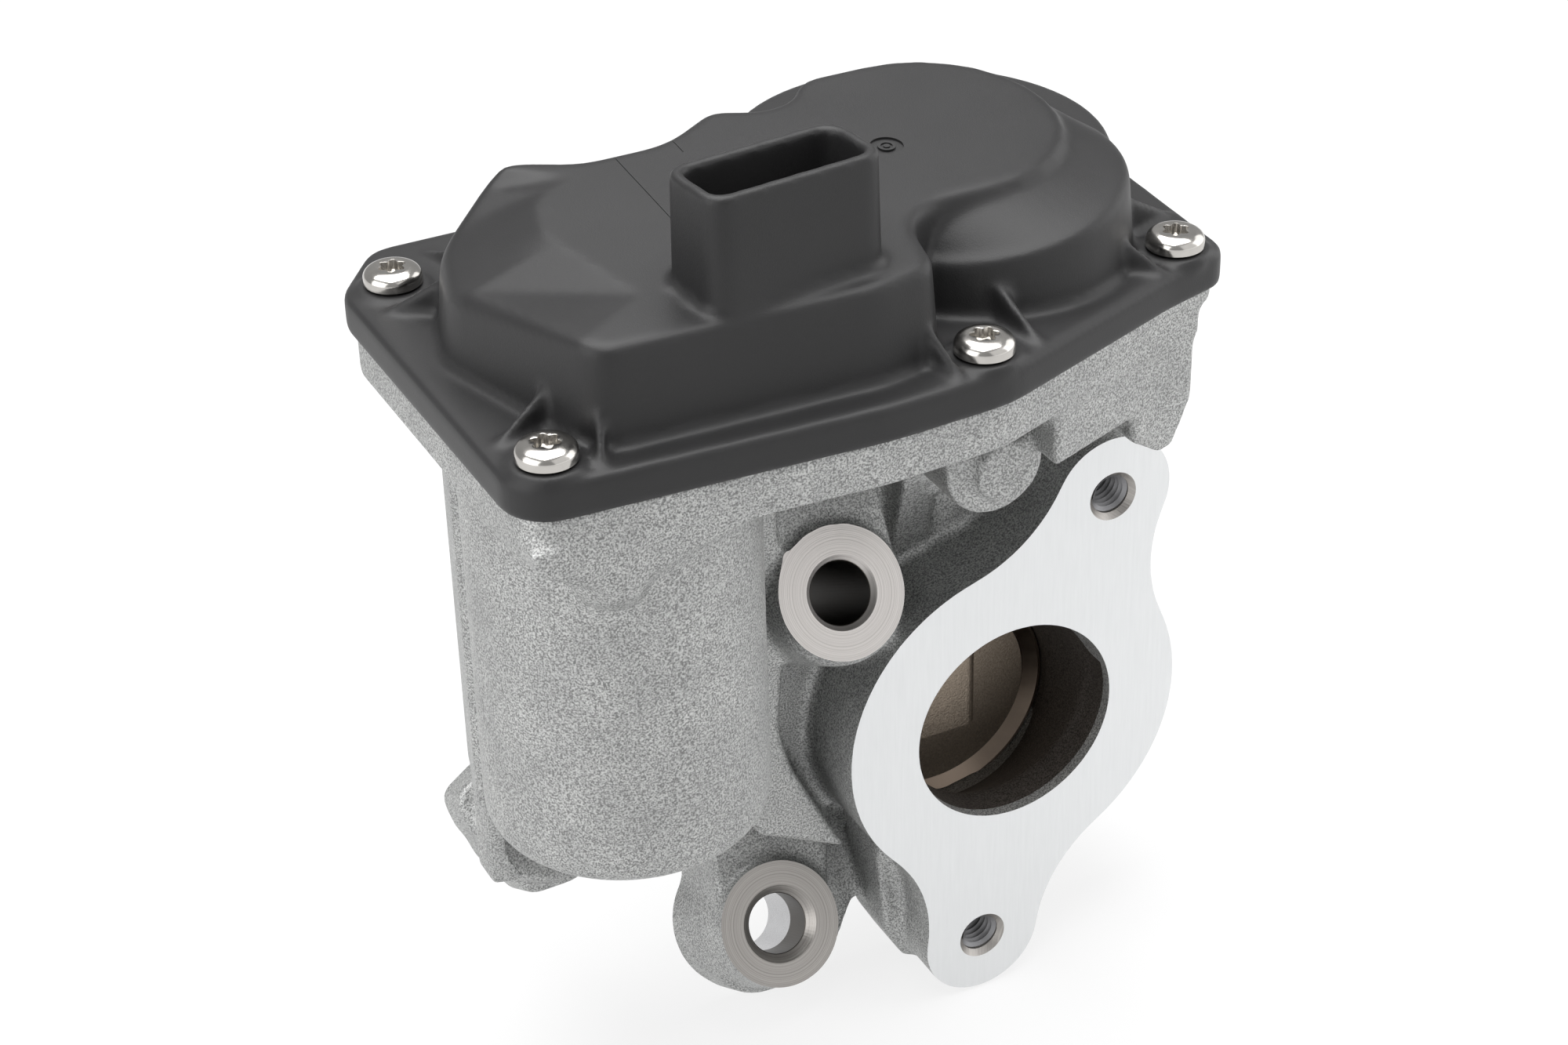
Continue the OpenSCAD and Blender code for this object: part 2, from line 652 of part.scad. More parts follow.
module bolt_cuts() {
    rear_frame(upper_boss_x, upper_boss_v, rear_s - upper_boss_len - cut)
        cylinder(r = bolt_hole_r, h = upper_boss_len + 2 * cut);
    rear_frame(upper_boss_x, upper_boss_v, rear_s - upper_boss_len - cut)
        cylinder(r1 = bolt_hole_r + 0.8 + cut, r2 = bolt_hole_r, h = 0.8 + cut);
    rear_frame(lower_boss_x, lower_boss_v, rear_s - lower_boss_len - cut)
        cylinder(r = bolt_hole_r, h = lower_boss_len + 2 * cut);
    rear_frame(lower_boss_x, lower_boss_v, rear_s - dowel_pocket)
        cylinder(r = dowel_r + seating_play, h = dowel_pocket + cut);
    rear_frame(ear_x, ear_v, rear_s - ear_t - cut)
        cylinder(r = bolt_hole_r, h = ear_t + 2 * cut);
    rear_frame(ear_x, ear_v, rear_s - ear_t - 12)
        cylinder(r = boss_r + 0.2, h = 12);
    rear_frame(lower_boss_x, lower_boss_v, rear_s - lower_boss_len - 12)
        cylinder(r = boss_r + 0.2, h = 12);
    rear_frame(right_boss_x, right_boss_v, rear_s - rear_thread_depth)
        cylinder(r = rear_thread_r, h = rear_thread_depth + cut);
    rear_frame(-100, 100, rear_s)
        cube([200, 200, 60]);
    for (p = [upper_thread_at, lower_thread_at])
        along_y(-cut)
            translate([p.x, -p.y, 0]) {
                cylinder(r = flange_thread_r, h = flange_thread_depth + cut);
                cylinder(r1 = flange_thread_r + 0.8 + cut, r2 = flange_thread_r, h = 0.8 + cut);
            }
}
module pan_cuts() {
    translate([0, 0, pan_z])
        linear_extrude(pan_depth + cut)
            ring_inside(rim_w, screw_r + 2.8);
    translate([0, 0, pocket_z])
        linear_extrude(pan_z - pocket_z + cut)
            sector_room(0);
    at(axle_at, pocket_z - 7)
        cylinder(r = axle_r + seating_play, h = 8);
    at(motor_at, can_z - 1)
        cylinder(r = can_r + 0.15, h = pan_z - can_z + 2);
    at(motor_at, can_z - 4)
        cylinder(r = 6, h = 4);
    for (a = ear_angles)
        translate([0, 0, cap_z])
            linear_extrude(pan_z - cap_z + cut)
                cap_ear(a, 0.3);
    for (a = ear_angles)
        at(ray(motor_at, ear_reach, a), cap_z - 6)
            cylinder(r = 1.3, h = 7);
    for (p = screws)
        at(p, joint_z - screw_reach + plate_t + 0.5)
            cylinder(r = screw_r + seating_play, h = screw_reach);
    translate([0, 0, joint_z - seal_depth])
        linear_extrude(seal_depth + cut)
            seal_outline(0.1);
}
seal_depth = 1.2;
seal_w = 1.3;
// Plan inside the cover's edge, going round the screws
module ring_inside(edge, screw_clear) {
    difference() {
        polygon(plate_inside(edge));
        for (p = screws)
            translate(p)
                circle(r = screw_clear);
    }
}
module seal_outline(play) {
    difference() {
        ring_inside(rim_w - 1.1 - seal_w - play, screw_r + 0.9 - play);
        ring_inside(rim_w - 1.1 + play, screw_r + 0.9 + seal_w + play);
    }
}
module housing() {
    color("silver")
        difference() {
            union() {
                front_extrude(0, flange_t)
                    flange_outline();
                passage_body();
                gear_pan();
                motor_barrel();
                bolt_bosses();
                casting_walls();
                front_details();
            }
            gas_passage();
            shaft_bores();
            bolt_cuts();
            pan_cuts();
        }
}

// Moulded cover
function fold_depth(p) =
    let(u = unit(fold_to - fold_from), d = p - fold_from)
    max(0, d * [-u.y, u.x]);
function tower_top(p) = plate_z + tower_h + tower_slope * (p.y + 20) - fold_drop * fold_depth(p);
function tower_ring(points, down, side) = [for (p = inset(points, side)) [p.x, p.y, tower_top(p) - down]];
module tower_loft(wall, floor_z) {
    r = wall > 0 ? 0 : tower_edge_r;
    angles = wall > 0 ? [90] : [0:30:90];
    edge = inset(tower_points, wall + tower_draft + r);
    loft(concat(
        [lift(inset(tower_points, wall), floor_z)],
        [for (a = angles) tower_ring(tower_points, wall + r - r * sin(a), wall + tower_draft + r - r * cos(a))],
        [for (k = [0.72, 0.4, 0.15])
            [for (p = shrink(edge, tower_heart, k)) [p.x, p.y, tower_top(p) - wall]]]));
}
tier_count = 60;
function low_rim_z(a) = plate_z + low_tier_h + 5 * (1 + cos(a - 20)) / 2;
module low_tier_loft(wall, floor_z) {
    outer = [for (i = [0:tier_count - 1]) 360 * i / tier_count];
    r = wall > 0 ? 0 : 1.3;
    angles = wall > 0 ? [90] : [0:45:90];
    function ring(side, down) =
        [for (a = outer) let(p = ray(low_tier_at, low_tier_r - wall - side, a)) [p.x, p.y, low_rim_z(a) - wall - down]];
    dome_ring = [for (a = outer)
        let(p = ray(dome_at, dome_r - wall - 1, a))
        [p.x, p.y, plate_z + tower_h + tower_slope * (p.y + 20) - wall - 1.6]];
    loft(concat([lift(circle_points(low_tier_at, low_tier_r - wall, tier_count), floor_z)],
        [for (a = angles) ring(tower_draft + r - r * cos(a), r - r * sin(a))],
        [dome_ring]));
}
module rear_tier_loft(wall, floor_z) {
    r = wall > 0 ? 0 : 1.3;
    angles = wall > 0 ? [90] : [0:45:90];
    top = plate_z + rear_tier_h - wall;
    loft(concat([lift(circle_points(rear_tier_at, rear_tier_r - wall, tier_count), floor_z)],
        [for (a = angles)
            lift(circle_points(rear_tier_at, rear_tier_r - wall - tower_draft - r + r * cos(a), tier_count),
                top - r + r * sin(a))]));
}
module collar_shell(out, z_from, z_to, lean) {
    points = rounded([for (c = [[-1, -1], [1, -1], [1, 1], [-1, 1]])
        [c.x * (collar_l / 2 - out), c.y * (collar_w / 2 - out), collar_r - out * 0.8]], 15);
    translate([collar_at.x, collar_at.y, 0])
        rotate(collar_turn)
            loft([lift(inset(points, -lean), z_from), lift(points, z_to)]);
}
collar_top_z = plate_z + collar_h;
collar_floor_z = plate_z + tower_h + 1.5;
module gusset(foot, wall_point) {
    hull() {
        translate([foot.x, foot.y, plate_z - 1])
            cylinder(r = 0.5, h = 1.1, $fn = 8);
        translate([wall_point.x, wall_point.y, plate_z - 1])
            cylinder(r = 0.7, h = 6, $fn = 8);
    }
}
gussets = [[[-79.9, 27.3], [-73.4, 22.9]], [[-80.7, -12], [-73, -10.1]], [[-71.9, -23], [-69.8, -18.6]],
    [[-23.8, -24.9], [-25.6, -19.6]], [[-10.4, -21.7], [-11.8, -12.5]], [[13.8, -13], [8.4, -9]],
    [[24, 1.8], [16, -0.9]], [[-69, 41], [-65, 28]], [[-44, 42], [-43, 24]], [[-29.4, 44], [-27.4, 27]],
    [[24.6, 30], [20, 28.5]], [[14, 47.6], [10, 44]]];
module cover() {
    color([0.13, 0.13, 0.14])
        difference() {
            union() {
                loft([lift(inset(plate_points, 0.3), joint_z), lift(plate_points, joint_z + 0.4),
                    lift(plate_points, plate_z - 0.7), lift(inset(plate_points, 0.7), plate_z)]);
                tower_loft(0, plate_z - 1);
                low_tier_loft(0, plate_z - 1);
                rear_tier_loft(0, plate_z - 1);
                collar_shell(0, plate_z + 8, collar_top_z, 0.4);
                for (p = screws)
                    at(p, plate_z - 1)
                        cylinder(r = pad_r, h = 1 + pad_h, $fn = 32);
                for (g = gussets)
                    gusset(g[0], g[1]);
            }
            tower_loft(cover_wall, joint_z - cut);
            low_tier_loft(cover_wall, joint_z - cut);
            rear_tier_loft(cover_wall, joint_z - cut);
            collar_shell(collar_wall, collar_floor_z, collar_top_z + 0.01, 0);
            for (p = screws)
                at(p, joint_z - cut)
                    cylinder(r = screw_r + screw_hole_play, h = plate_t + pad_h + 2 * cut, $fn = 32);
            for (i = [0:terminal_count - 1])
                terminal_place(i)
                    translate([-0.8, -0.4, -5])
                        cube([1.6, 0.8, 8]);
        }
}
module cover_seal() {
    color("dimgray")
        translate([0, 0, joint_z - seal_depth + 0.02])
            linear_extrude(seal_depth - 0.03)
                seal_outline(0);
}

// Cover screw with domed head and six-lobed socket
module torx_outline() {
    circle(r = torx_r * 0.78, $fn = 32);
    for (a = [0:60:300])
        rotate(a)
            translate([torx_r * 0.72, 0])
                circle(r = torx_r * 0.28, $fn = 16);
}
module cover_screw() {
    h = screw_head_h;
    r = screw_head_r;
    difference() {
        union() {
            rotate_extrude()
                polygon([[0, 0], [r - 0.3, 0], [r, 0.3], [r, 0.9], [r - 0.25, 1.5], [r - 0.9, 2.1], [r - 1.8, h], [0, h]]);
            translate([0, 0, -screw_reach])
                cylinder(r = screw_r, h = screw_reach + 0.1);
        }
        translate([0, 0, h - 1.3])
            linear_extrude(2)
                torx_outline();
    }
}
module cover_screws() {
    color("gainsboro")
        for (p = screws)
            at(p, plate_z + pad_h)
                cover_screw();
}

module terminal_place(i) {
    translate([collar_at.x, collar_at.y, collar_floor_z])
        rotate(collar_turn)
            translate([(i - (terminal_count - 1) / 2) * terminal_pitch, 0, 0])
                children();
}
module connector_terminals() {
    color("gold")
        for (i = [0:terminal_count - 1])
            terminal_place(i) {
                translate([-0.75, -0.35, -4])
                    cube([1.5, 0.7, 9.5]);
                translate([-0.45, -0.3, 5])
                    cube([0.9, 0.6, 1.2]);
            }
}
board_z = joint_z + 3;
board_t = 1.6;
board_play = 0.8;
module sensor_board() {
    color("darkgreen") {
        translate([0, 0, board_z])
            linear_extrude(board_t)
                difference() {
                    intersection() {
                        polygon(rounded([[-10, 6, 3], [11, 6, 5], [17, 22, 6], [12, 38, 6], [-10, 38, 3]]));
                        translate(rear_tier_at)
                            circle(r = rear_tier_r - cover_wall - board_play);
                    }
                    translate([-6, 10])
                        circle(r = 1.1, $fn = 24);
                }
        at([-1, 14], board_z + board_t)
            translate([-3, -2.5, -0.01])
                cube([6, 5, 1.2]);
        at([8, 24], board_z + board_t)
            translate([-2, -2, -0.01])
                cube([4, 4, 1]);
    }
}

// Gas side
module seat_sleeve() {
    color("lightsteelblue")
        difference() {
            along_y(seat_front_y)
                translate([shaft_x, -seat_z, 0])
                    rotate_extrude()
                        polygon([[seat_bore_r, 1.6], [seat_r - 0.7, 0], [seat_r - 0.3, 0], [seat_r - seating_play, 0.4],
                            [seat_r - seating_play, seat_len], [seat_bore_r + 0.4, seat_len],
                            [seat_bore_r, seat_len - 0.4]]);
            at(shaft_at, seat_z)
                cylinder(r = shaft_r + 0.3, h = seat_r + cut);
        }
}
module lower_bush() {
    color("peru")
        at(shaft_at, bush_z)
            tube(bush_r, shaft_r + running_play, bush_len);
}
module shaft_seal() {
    color("dimgray")
        at(shaft_at, seal_z)
            rotate_extrude()
                polygon([[shaft_r + running_play, 0.4], [shaft_r + 1.2, 0], [bearing_r, 0], [bearing_r, seal_len],
                    [bearing_r - 1, seal_len], [bearing_r - 1, 1], [shaft_r + 1.2, 1], [shaft_r + 0.8, seal_len - 0.6],
                    [shaft_r + running_play, 1.2]]);
}
module upper_bearing() {
    color("silver")
        at(shaft_at, bearing_z) {
            tube(bearing_r, bearing_r - 1, bearing_len);
            tube(shaft_r + 1.1, shaft_r + running_play, bearing_len);
            translate([0, 0, 0.5])
                tube(bearing_r - 1.1, shaft_r + 1.2, bearing_len - 1);
        }
}
module dowel_sleeve() {
    color("silver")
        rear_frame(lower_boss_x, lower_boss_v, rear_s - dowel_pocket + 0.3)
            tube(dowel_r, bolt_hole_r + 0.2, dowel_pocket - 0.3);
}

// Motor
can_z = barrel_bottom_z + 6.5;
cap_z = can_z + can_len;
ear_angles = [20, 128];
ear_reach = can_r + 2.2;
module motor_can() {
    color("slategray")
        at(motor_at, can_z)
            rotate_extrude()
                polygon([[2.8, -2.2], [4.2, -2.2], [4.2, 0], [can_r - 1, 0], [can_r, 1], [can_r, can_len],
                    [can_r - can_wall, can_len], [can_r - can_wall, 2], [can_r - can_wall - 1, can_wall], [2.8, can_wall]]);
}
module motor_magnets() {
    color("dimgray")
        at(motor_at, can_z + 5)
            for (a = [0, 180])
                rotate(a)
                    rotate_extrude(angle = 140)
                        translate([can_r - can_wall - magnet_t, 0])
                            square([magnet_t - seating_play, armature_len + 6]);
}
module cap_ear(a, play) {
    translate(ray(motor_at, ear_reach, a))
        circle(r = 3.4 + play);
    translate(ray(motor_at, ear_reach - 4, a))
        rotate(a)
            square([8, 6.8 + 2 * play], center = true);
}
cap_t = 2.2;
module motor_end_cap() {
    color("black")
        difference() {
            union() {
                at(motor_at, cap_z)
                    cylinder(r = can_r, h = cap_t);
                at(motor_at, cap_z - 6)
                    tube(can_r - can_wall - seating_play, can_r - can_wall - 1.6, 7);
                translate([0, 0, cap_z + 0.01])
                    linear_extrude(cap_t - 0.01)
                        for (a = ear_angles)
                            cap_ear(a, 0);
                for (a = [0, 180])
                    at(motor_at, cap_z - 6)
                        rotate(a)
                            translate([commutator_r + 1, -3, 0])
                                cube([can_r - can_wall - commutator_r - 2.2, 6, 7]);
            }
            at(motor_at, cap_z - cut)
                cylinder(r = 4.2 + seating_play, h = cap_t + 2 * cut);
            for (a = ear_angles)
                at(ray(motor_at, ear_reach, a), cap_z - cut)
                    cylinder(r = 1.5, h = cap_t + 2 * cut);
            at(motor_at, cap_z - 5)
                cube([2 * can_r, 4 + 0.1, 4.1], center = true);
        }
}
module motor_brushes() {
    color("dimgray")
        for (a = [0, 180])
            at(motor_at, cap_z - 5)
                rotate(a)
                    translate([commutator_r + 0.05, -2, -2])
                        cube([6, 4, 4]);
}
module motor_bearing() {
    color("peru") {
        at(motor_at, cap_z)
            tube(4.2, motor_shaft_r + running_play, cap_t + 0.8);
        at(motor_at, can_z - 2)
            tube(2.8 - seating_play, motor_shaft_r + running_play, 3);
    }
}
module motor_screws() {
    color("gainsboro")
        for (a = ear_angles)
            at(ray(motor_at, ear_reach, a), cap_z + cap_t) {
                cylinder(r = 2.4, h = 1.5);
                translate([0, 0, -cap_t - 5])
                    cylinder(r = 1.3 - seating_play, h = cap_t + 5.1);
            }
}
module wave_spring() {
    n = 36;
    r_in = 8.5;
    r_out = 11.5;
    function wave(i) = can_z - 0.55 + 0.2 * cos(3 * 360 * i / n);
    section = [[r_in, -0.15], [r_out, -0.15], [r_out, 0.15], [r_in, 0.15]];
    color("silver")
        polyhedron([for (i = [0:n - 1], c = section)
            let(p = ray(motor_at, c[0], 360 * i / n))
            [p.x, p.y, wave(i) + c[1]]],
            [for (i = [0:n - 1], k = [0:3])
                let(a = 4 * i + k, b = 4 * i + (k + 1) % 4, c = 4 * ((i + 1) % n) + k, d = 4 * ((i + 1) % n) + (k + 1) % 4)
                each [[a, c, d], [a, d, b]]]);
}

// Gear train
module intermediate_axle() {
    color("silver")
        at(axle_at, pocket_z - 7)
            cylinder(r = axle_r, h = joint_z + 1.5 - pocket_z + 7);
}
module output_shaft() {
    color("silver")
        at(shaft_at, shaft_bottom_z)
            cylinder(r = shaft_r, h = shaft_top_z - shaft_bottom_z - 0.3);
}
module flap_disc() {
    color("rosybrown")
        difference() {
            union() {
                along_y(shaft_y - flap_t / 2)
                    translate([shaft_x, -seat_z, 0])
                        cylinder(r = flap_r, h = flap_t);
                hub_bottom = seat_z - hub_drop;
                hub_top = seat_z + flap_r - 2.6;
                at(shaft_at, hub_bottom)
                    linear_extrude(hub_top - hub_bottom)
                        polygon(rounded([[-hub_half_w, -5, 1.8], [hub_half_w, -5, 1.8], [hub_half_w, 5, 1.8],
                            [-hub_half_w, 5, 1.8]]));
            }
            at(shaft_at, shaft_bottom_z)
                cylinder(r = shaft_r + seating_play, h = 40);
            along_y(shaft_y - flap_ring_w / 2)
                translate([shaft_x, -seat_z, 0])
                    tube(flap_r + 1, flap_r - 1.5, flap_ring_w);
        }
}
module flap_ring() {
    color("silver")
        difference() {
            along_y(shaft_y - flap_ring_w / 2 + 0.04)
                translate([shaft_x, -seat_z, 0])
                    tube(seat_bore_r - 0.07, flap_r - 1.4, flap_ring_w - 0.08);
            at(shaft_at, seat_z + flap_r - 4)
                cylinder(r = shaft_r + 0.6, h = 8);
        }
}
module sector_outline() {
    first = -open_angle - sector_margin;
    count = floor((open_angle + 2 * sector_margin) * sector_teeth / 360);
    pitch = 360 / sector_teeth;
    web_r = coarse_module * (sector_teeth / 2 - 1.25 - pinion_shift) - 1;
    start = ceil(first / pitch);
    angles = [for (k = [start:start + count - 1]) shaft_to_axle + k * pitch];
    polygon(concat([[0, 0]], [for (a = angles) each tooth(coarse_module, sector_teeth, -pinion_shift, a)]));
    circle(r = 8);
}
module sector_gear() {
    color("ivory")
        at(shaft_at, sector_z)
            difference() {
                linear_extrude(sector_t)
                    sector_outline();
                translate([0, 0, -cut])
                    cylinder(r = shaft_r + seating_play, h = sector_t + 2 * cut);
                for (a = [-62, -40, -18])
                    rotate(shaft_to_axle + a)
                        translate([15.5, 0, -cut])
                            cylinder(r = 3.6, h = sector_t + 2 * cut);
            }
}
magnet_arc = [-75, 40];
module sensor_magnet() {
    color("dimgray")
        at(shaft_at, sector_z + 0.5) {
            rotate(magnet_arc[0])
                rotate_extrude(angle = magnet_arc[1] - magnet_arc[0])
                    translate([8.05, 0])
                        square([3, joint_z - sector_z]);
        }
}
module return_spring() {
    turns = spring_coils;
    per_turn = 20;
    sides = 8;
    z0 = spring_room_z + wire_r + 0.4;
    rise = (pocket_z - 0.2 - 2 * wire_r - spring_room_z - 0.4) / turns;
    color("dimgray")
        at(shaft_at, 0)
            loft([for (i = [turns * per_turn:-1:0])
                let(a = 360 * i / per_turn)
                [for (k = [0:sides - 1])
                    let(b = 360 * k / sides, r = spring_r + wire_r * cos(b))
                    [r * cos(a), r * sin(a), z0 + rise * i / per_turn + wire_r * sin(b)]]]);
}
module intermediate_gear() {
    color("ivory")
        at(axle_at, 0)
            difference() {
                union() {
                    translate([0, 0, wheel_z])
                        linear_extrude(wheel_t)
                            gear_outline(fine_module, wheel_teeth, -pinion_shift, axle_to_motor + 180 / wheel_teeth);
                    translate([0, 0, sector_z])
                        linear_extrude(wheel_z - sector_z + 0.1)
                            gear_outline(coarse_module, pinion_teeth, pinion_shift, axle_to_shaft + 180 / pinion_teeth);
                }
                translate([0, 0, sector_z - cut])
                    cylinder(r = axle_r + running_play, h = wheel_top_z - sector_z + 2 * cut);
                translate([0, 0, wheel_top_z - 1.4])
                    tube(wheel_tip_r - 4, 8, 1.4 + cut);
                for (a = [0:60:300])
                    rotate(a + 15)
                        translate([17.2, 0, wheel_z - cut])
                            cylinder(r = 4.6, h = wheel_t);
            }
}
module motor_shaft() {
    color("silver")
        at(motor_at, can_z - 1.8)
            cylinder(r = motor_shaft_r, h = wheel_top_z - can_z + 2.4);
}
core_z = can_z + 8;
slot_count = 5;
module armature() {
    color("slategray")
        at(motor_at, core_z)
            difference() {
                cylinder(r = armature_r, h = armature_len);
                translate([0, 0, -cut])
                    cylinder(r = motor_shaft_r + seating_play, h = armature_len + 2 * cut);
                for (i = [0:slot_count - 1])
                    rotate(i * 360 / slot_count) {
                        translate([armature_r - 3, -0.8, -cut])
                            cube([5, 1.6, armature_len + 2 * cut]);
                        translate([armature_r - 5, 0, -cut])
                            cylinder(r = 2.8, h = armature_len + 2 * cut);
                    }
            }
}
module armature_windings() {
    color("chocolate")
        at(motor_at, 0)
            for (z = [core_z - 3.2, core_z + armature_len + 0.02])
                translate([0, 0, z])
                    rotate_extrude()
                        polygon([[3.2, 0.4], [4.2, 0], [9, 0], [10.2, 1], [10.2, 2.2], [9, 3.18], [4.2, 3.18], [3.2, 2.8]]);
}
module commutator() {
    color("peru")
        at(motor_at, core_z + armature_len + 3.3)
            difference() {
                cylinder(r = commutator_r, h = cap_z - 2 - core_z - armature_len - 3.3);
                translate([0, 0, -cut])
                    cylinder(r = motor_shaft_r + seating_play, h = 40);
                for (i = [0:slot_count - 1])
                    rotate((i + 0.5) * 360 / slot_count)
                        translate([commutator_r - 0.8, -0.2, -cut])
                            cube([2, 0.4, 40]);
            }
}
module motor_pinion() {
    color("goldenrod")
        at(motor_at, wheel_z - 0.2)
            difference() {
                linear_extrude(wheel_t + 0.4)
                    gear_outline(fine_module, motor_teeth, pinion_shift, axle_to_motor + 180);
                translate([0, 0, -cut])
                    cylinder(r = motor_shaft_r + seating_play, h = wheel_t + 3);
            }
}

housing();
cover();
cover_seal();
cover_screws();
connector_terminals();
sensor_board();
seat_sleeve();
lower_bush();
shaft_seal();
upper_bearing();
dowel_sleeve();
motor_can();
motor_magnets();
motor_end_cap();
motor_bearing();
motor_brushes();
motor_screws();
wave_spring();
intermediate_axle();
output_shaft();
flap_disc();
flap_ring();
sector_gear();
sensor_magnet();
return_spring();
intermediate_gear();
motor_shaft();
armature();
armature_windings();
commutator();
motor_pinion();
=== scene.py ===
# %% [markdown]
# Exhaust gas recirculation valve. Exhaust gas enters at the front flange, passes a round flap that a
# small motor turns through two pairs of gears, and leaves at the leaning rear face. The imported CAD
# model is the fixed frame: every node keeps its place, and this lesson gives each one its finish.
# Only the casting with its threads, the moulded cover and its screws are modelled anew over the CAD.

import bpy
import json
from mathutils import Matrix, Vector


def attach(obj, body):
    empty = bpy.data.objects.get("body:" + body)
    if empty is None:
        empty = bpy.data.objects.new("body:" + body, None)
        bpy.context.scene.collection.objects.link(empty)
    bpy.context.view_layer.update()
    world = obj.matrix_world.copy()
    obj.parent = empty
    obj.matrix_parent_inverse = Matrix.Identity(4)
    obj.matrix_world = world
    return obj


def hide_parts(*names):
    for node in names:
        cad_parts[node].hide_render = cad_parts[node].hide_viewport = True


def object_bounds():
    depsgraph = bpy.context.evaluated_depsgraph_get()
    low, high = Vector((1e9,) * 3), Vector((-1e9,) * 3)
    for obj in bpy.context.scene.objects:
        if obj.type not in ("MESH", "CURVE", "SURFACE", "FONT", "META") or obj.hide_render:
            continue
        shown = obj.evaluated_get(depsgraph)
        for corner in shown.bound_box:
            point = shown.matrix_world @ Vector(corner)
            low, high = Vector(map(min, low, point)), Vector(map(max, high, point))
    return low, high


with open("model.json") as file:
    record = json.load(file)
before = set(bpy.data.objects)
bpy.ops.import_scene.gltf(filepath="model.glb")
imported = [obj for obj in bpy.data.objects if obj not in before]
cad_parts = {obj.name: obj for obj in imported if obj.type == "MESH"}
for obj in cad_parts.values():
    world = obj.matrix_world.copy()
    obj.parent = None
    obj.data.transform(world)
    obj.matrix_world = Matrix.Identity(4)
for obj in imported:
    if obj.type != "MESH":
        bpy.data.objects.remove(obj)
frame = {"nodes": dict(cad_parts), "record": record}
cad_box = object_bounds()
print("CAD box", [[round(c, 4) for c in corner] for corner in cad_box])

# %% [markdown]
# The frame's record says which body every node rides on and which material slot it fills. Bodies are
# what the joints move: the valve's body stands still, and flap, middle gear and rotor turn. Both are
# looked up by the node's name, which keeps the lesson free of repeated lists.

# %% Nodes, bodies and slots
import json
import math

import bmesh
import bpy
from mathutils import Matrix, Vector

MM = 0.001
node = frame["nodes"]
body_of = {
    name: body
    for body, names in frame["record"]["behaviour"]["bodies"].items()
    for name in names
}
slot_of = {part["node"]: part["material_slot"] for part in frame["record"]["subparts"]}

# %% [markdown]
# Blender's operators act on whatever is selected, and the CAD nodes come in selected. So each step
# first clears the selection. Then it picks one piece, or in edit mode only the vertices, edges or
# faces that pass a test of their place or direction. By hand one would click on them, but a test
# finds the same ones in every run.

# %% Picking pieces and their faces
def deselect():
    """Leaves nothing selected, so an operator acts only on what is made next."""
    if bpy.context.object and bpy.context.object.mode != "OBJECT":
        bpy.ops.object.mode_set(mode="OBJECT")
    bpy.ops.object.select_all(action="DESELECT")


def pick(piece):
    """Makes one piece the selected and active one."""
    deselect()
    piece.select_set(True)
    bpy.context.view_layer.objects.active = piece


def open_with(piece, kind, test):
    """Opens a piece in edit mode, with only the items of one kind selected that pass a test."""
    pick(piece)
    bpy.ops.object.mode_set(mode="EDIT")
    bpy.ops.mesh.select_mode(type=kind)
    bpy.ops.mesh.select_all(action="DESELECT")
    shape = bmesh.from_edit_mesh(piece.data)
    for item in {"VERT": shape.verts, "EDGE": shape.edges, "FACE": shape.faces}[kind]:
        if test(item):
            item.select_set(True)
    if kind == "VERT":
        shape.select_flush(True)
    bmesh.update_edit_mesh(piece.data)


def close():
    """Goes back to object mode."""
    bpy.ops.object.mode_set(mode="OBJECT")


# %% [markdown]
# Modifiers do the even work on a whole piece, such as remeshing or smoothing, and each is applied at
# once, so that the next step sees real faces. A finished piece is handed over: it gets its finish,
# smooth shading up to an angle and its body, and the CAD nodes it stands for are hidden.

# %% Modifiers and handing over
def run(piece, kind, **settings):
    """Adds one modifier to a piece and applies it."""
    pick(piece)
    tool = piece.modifiers.new(kind.title(), kind)
    for name, value in settings.items():
        setattr(tool, name, value)
    bpy.ops.object.modifier_apply(modifier=tool.name)


def triangles(piece):
    """Number of triangles that a piece comes to."""
    return sum(len(face.vertices) - 2 for face in piece.data.polygons)


def place_in_mesh(piece):
    """Moves a piece's place and turn into its mesh, so that the object sits at the origin."""
    pick(piece)
    bpy.ops.object.transform_apply(location=True, rotation=True, scale=True)


def hand_over(piece, body, finish, stands_for=None, angle=35):
    """Gives a finished piece its material, body and smooth shading, and hides the CAD nodes it stands
    for.
    """
    if finish:
        piece.data.materials.clear()
        piece.data.materials.append(finish)
    pick(piece)
    bpy.ops.object.shade_smooth_by_angle(angle=math.radians(angle))
    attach(piece, body)
    if stands_for:
        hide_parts(*stands_for)
    print(piece.name, "has", triangles(piece), "triangles")


# %% [markdown]
# Distances in the lesson are in millimetres, as on a drawing. The front face stands upright, and the
# rear face leans back by 30 degrees. The bolts stand square to that leaning face, so a bolt is placed
# by x, by its height along the face, and by the distance along the face's normal.

# %% Places on the valve
across = Vector((1, 0, 0))
into_valve = Vector((0, 1, 0))
upwards = Vector((0, 0, 1))
lean = math.radians(30)
bolt_way = Vector((0, math.cos(lean), -math.sin(lean)))
face_way = Vector((0, math.sin(lean), math.cos(lean)))


def on_rear(x, height):
    """A point on the leaning plane through the origin that the rear face is parallel to."""
    return Vector((x, 0, 0)) + face_way * height


upper_bolt = on_rear(-27, 26.5)
lower_bolt = on_rear(-35, -21.6)
ear_bolt = on_rear(-64, 3.2)
rear_thread = on_rear(25, -6)
flange_threads = [Vector((15.4, 0, 33.6)), Vector((-5.1, 0, -37.5))]
upper_face_at, lower_face_at, ear_face_at, thread_face_at, rear_face_at = -13, 21.7, 27, 25, 38
print("rear face leans", round(math.degrees(lean)), "degrees,", rear_face_at, "mm along its normal")

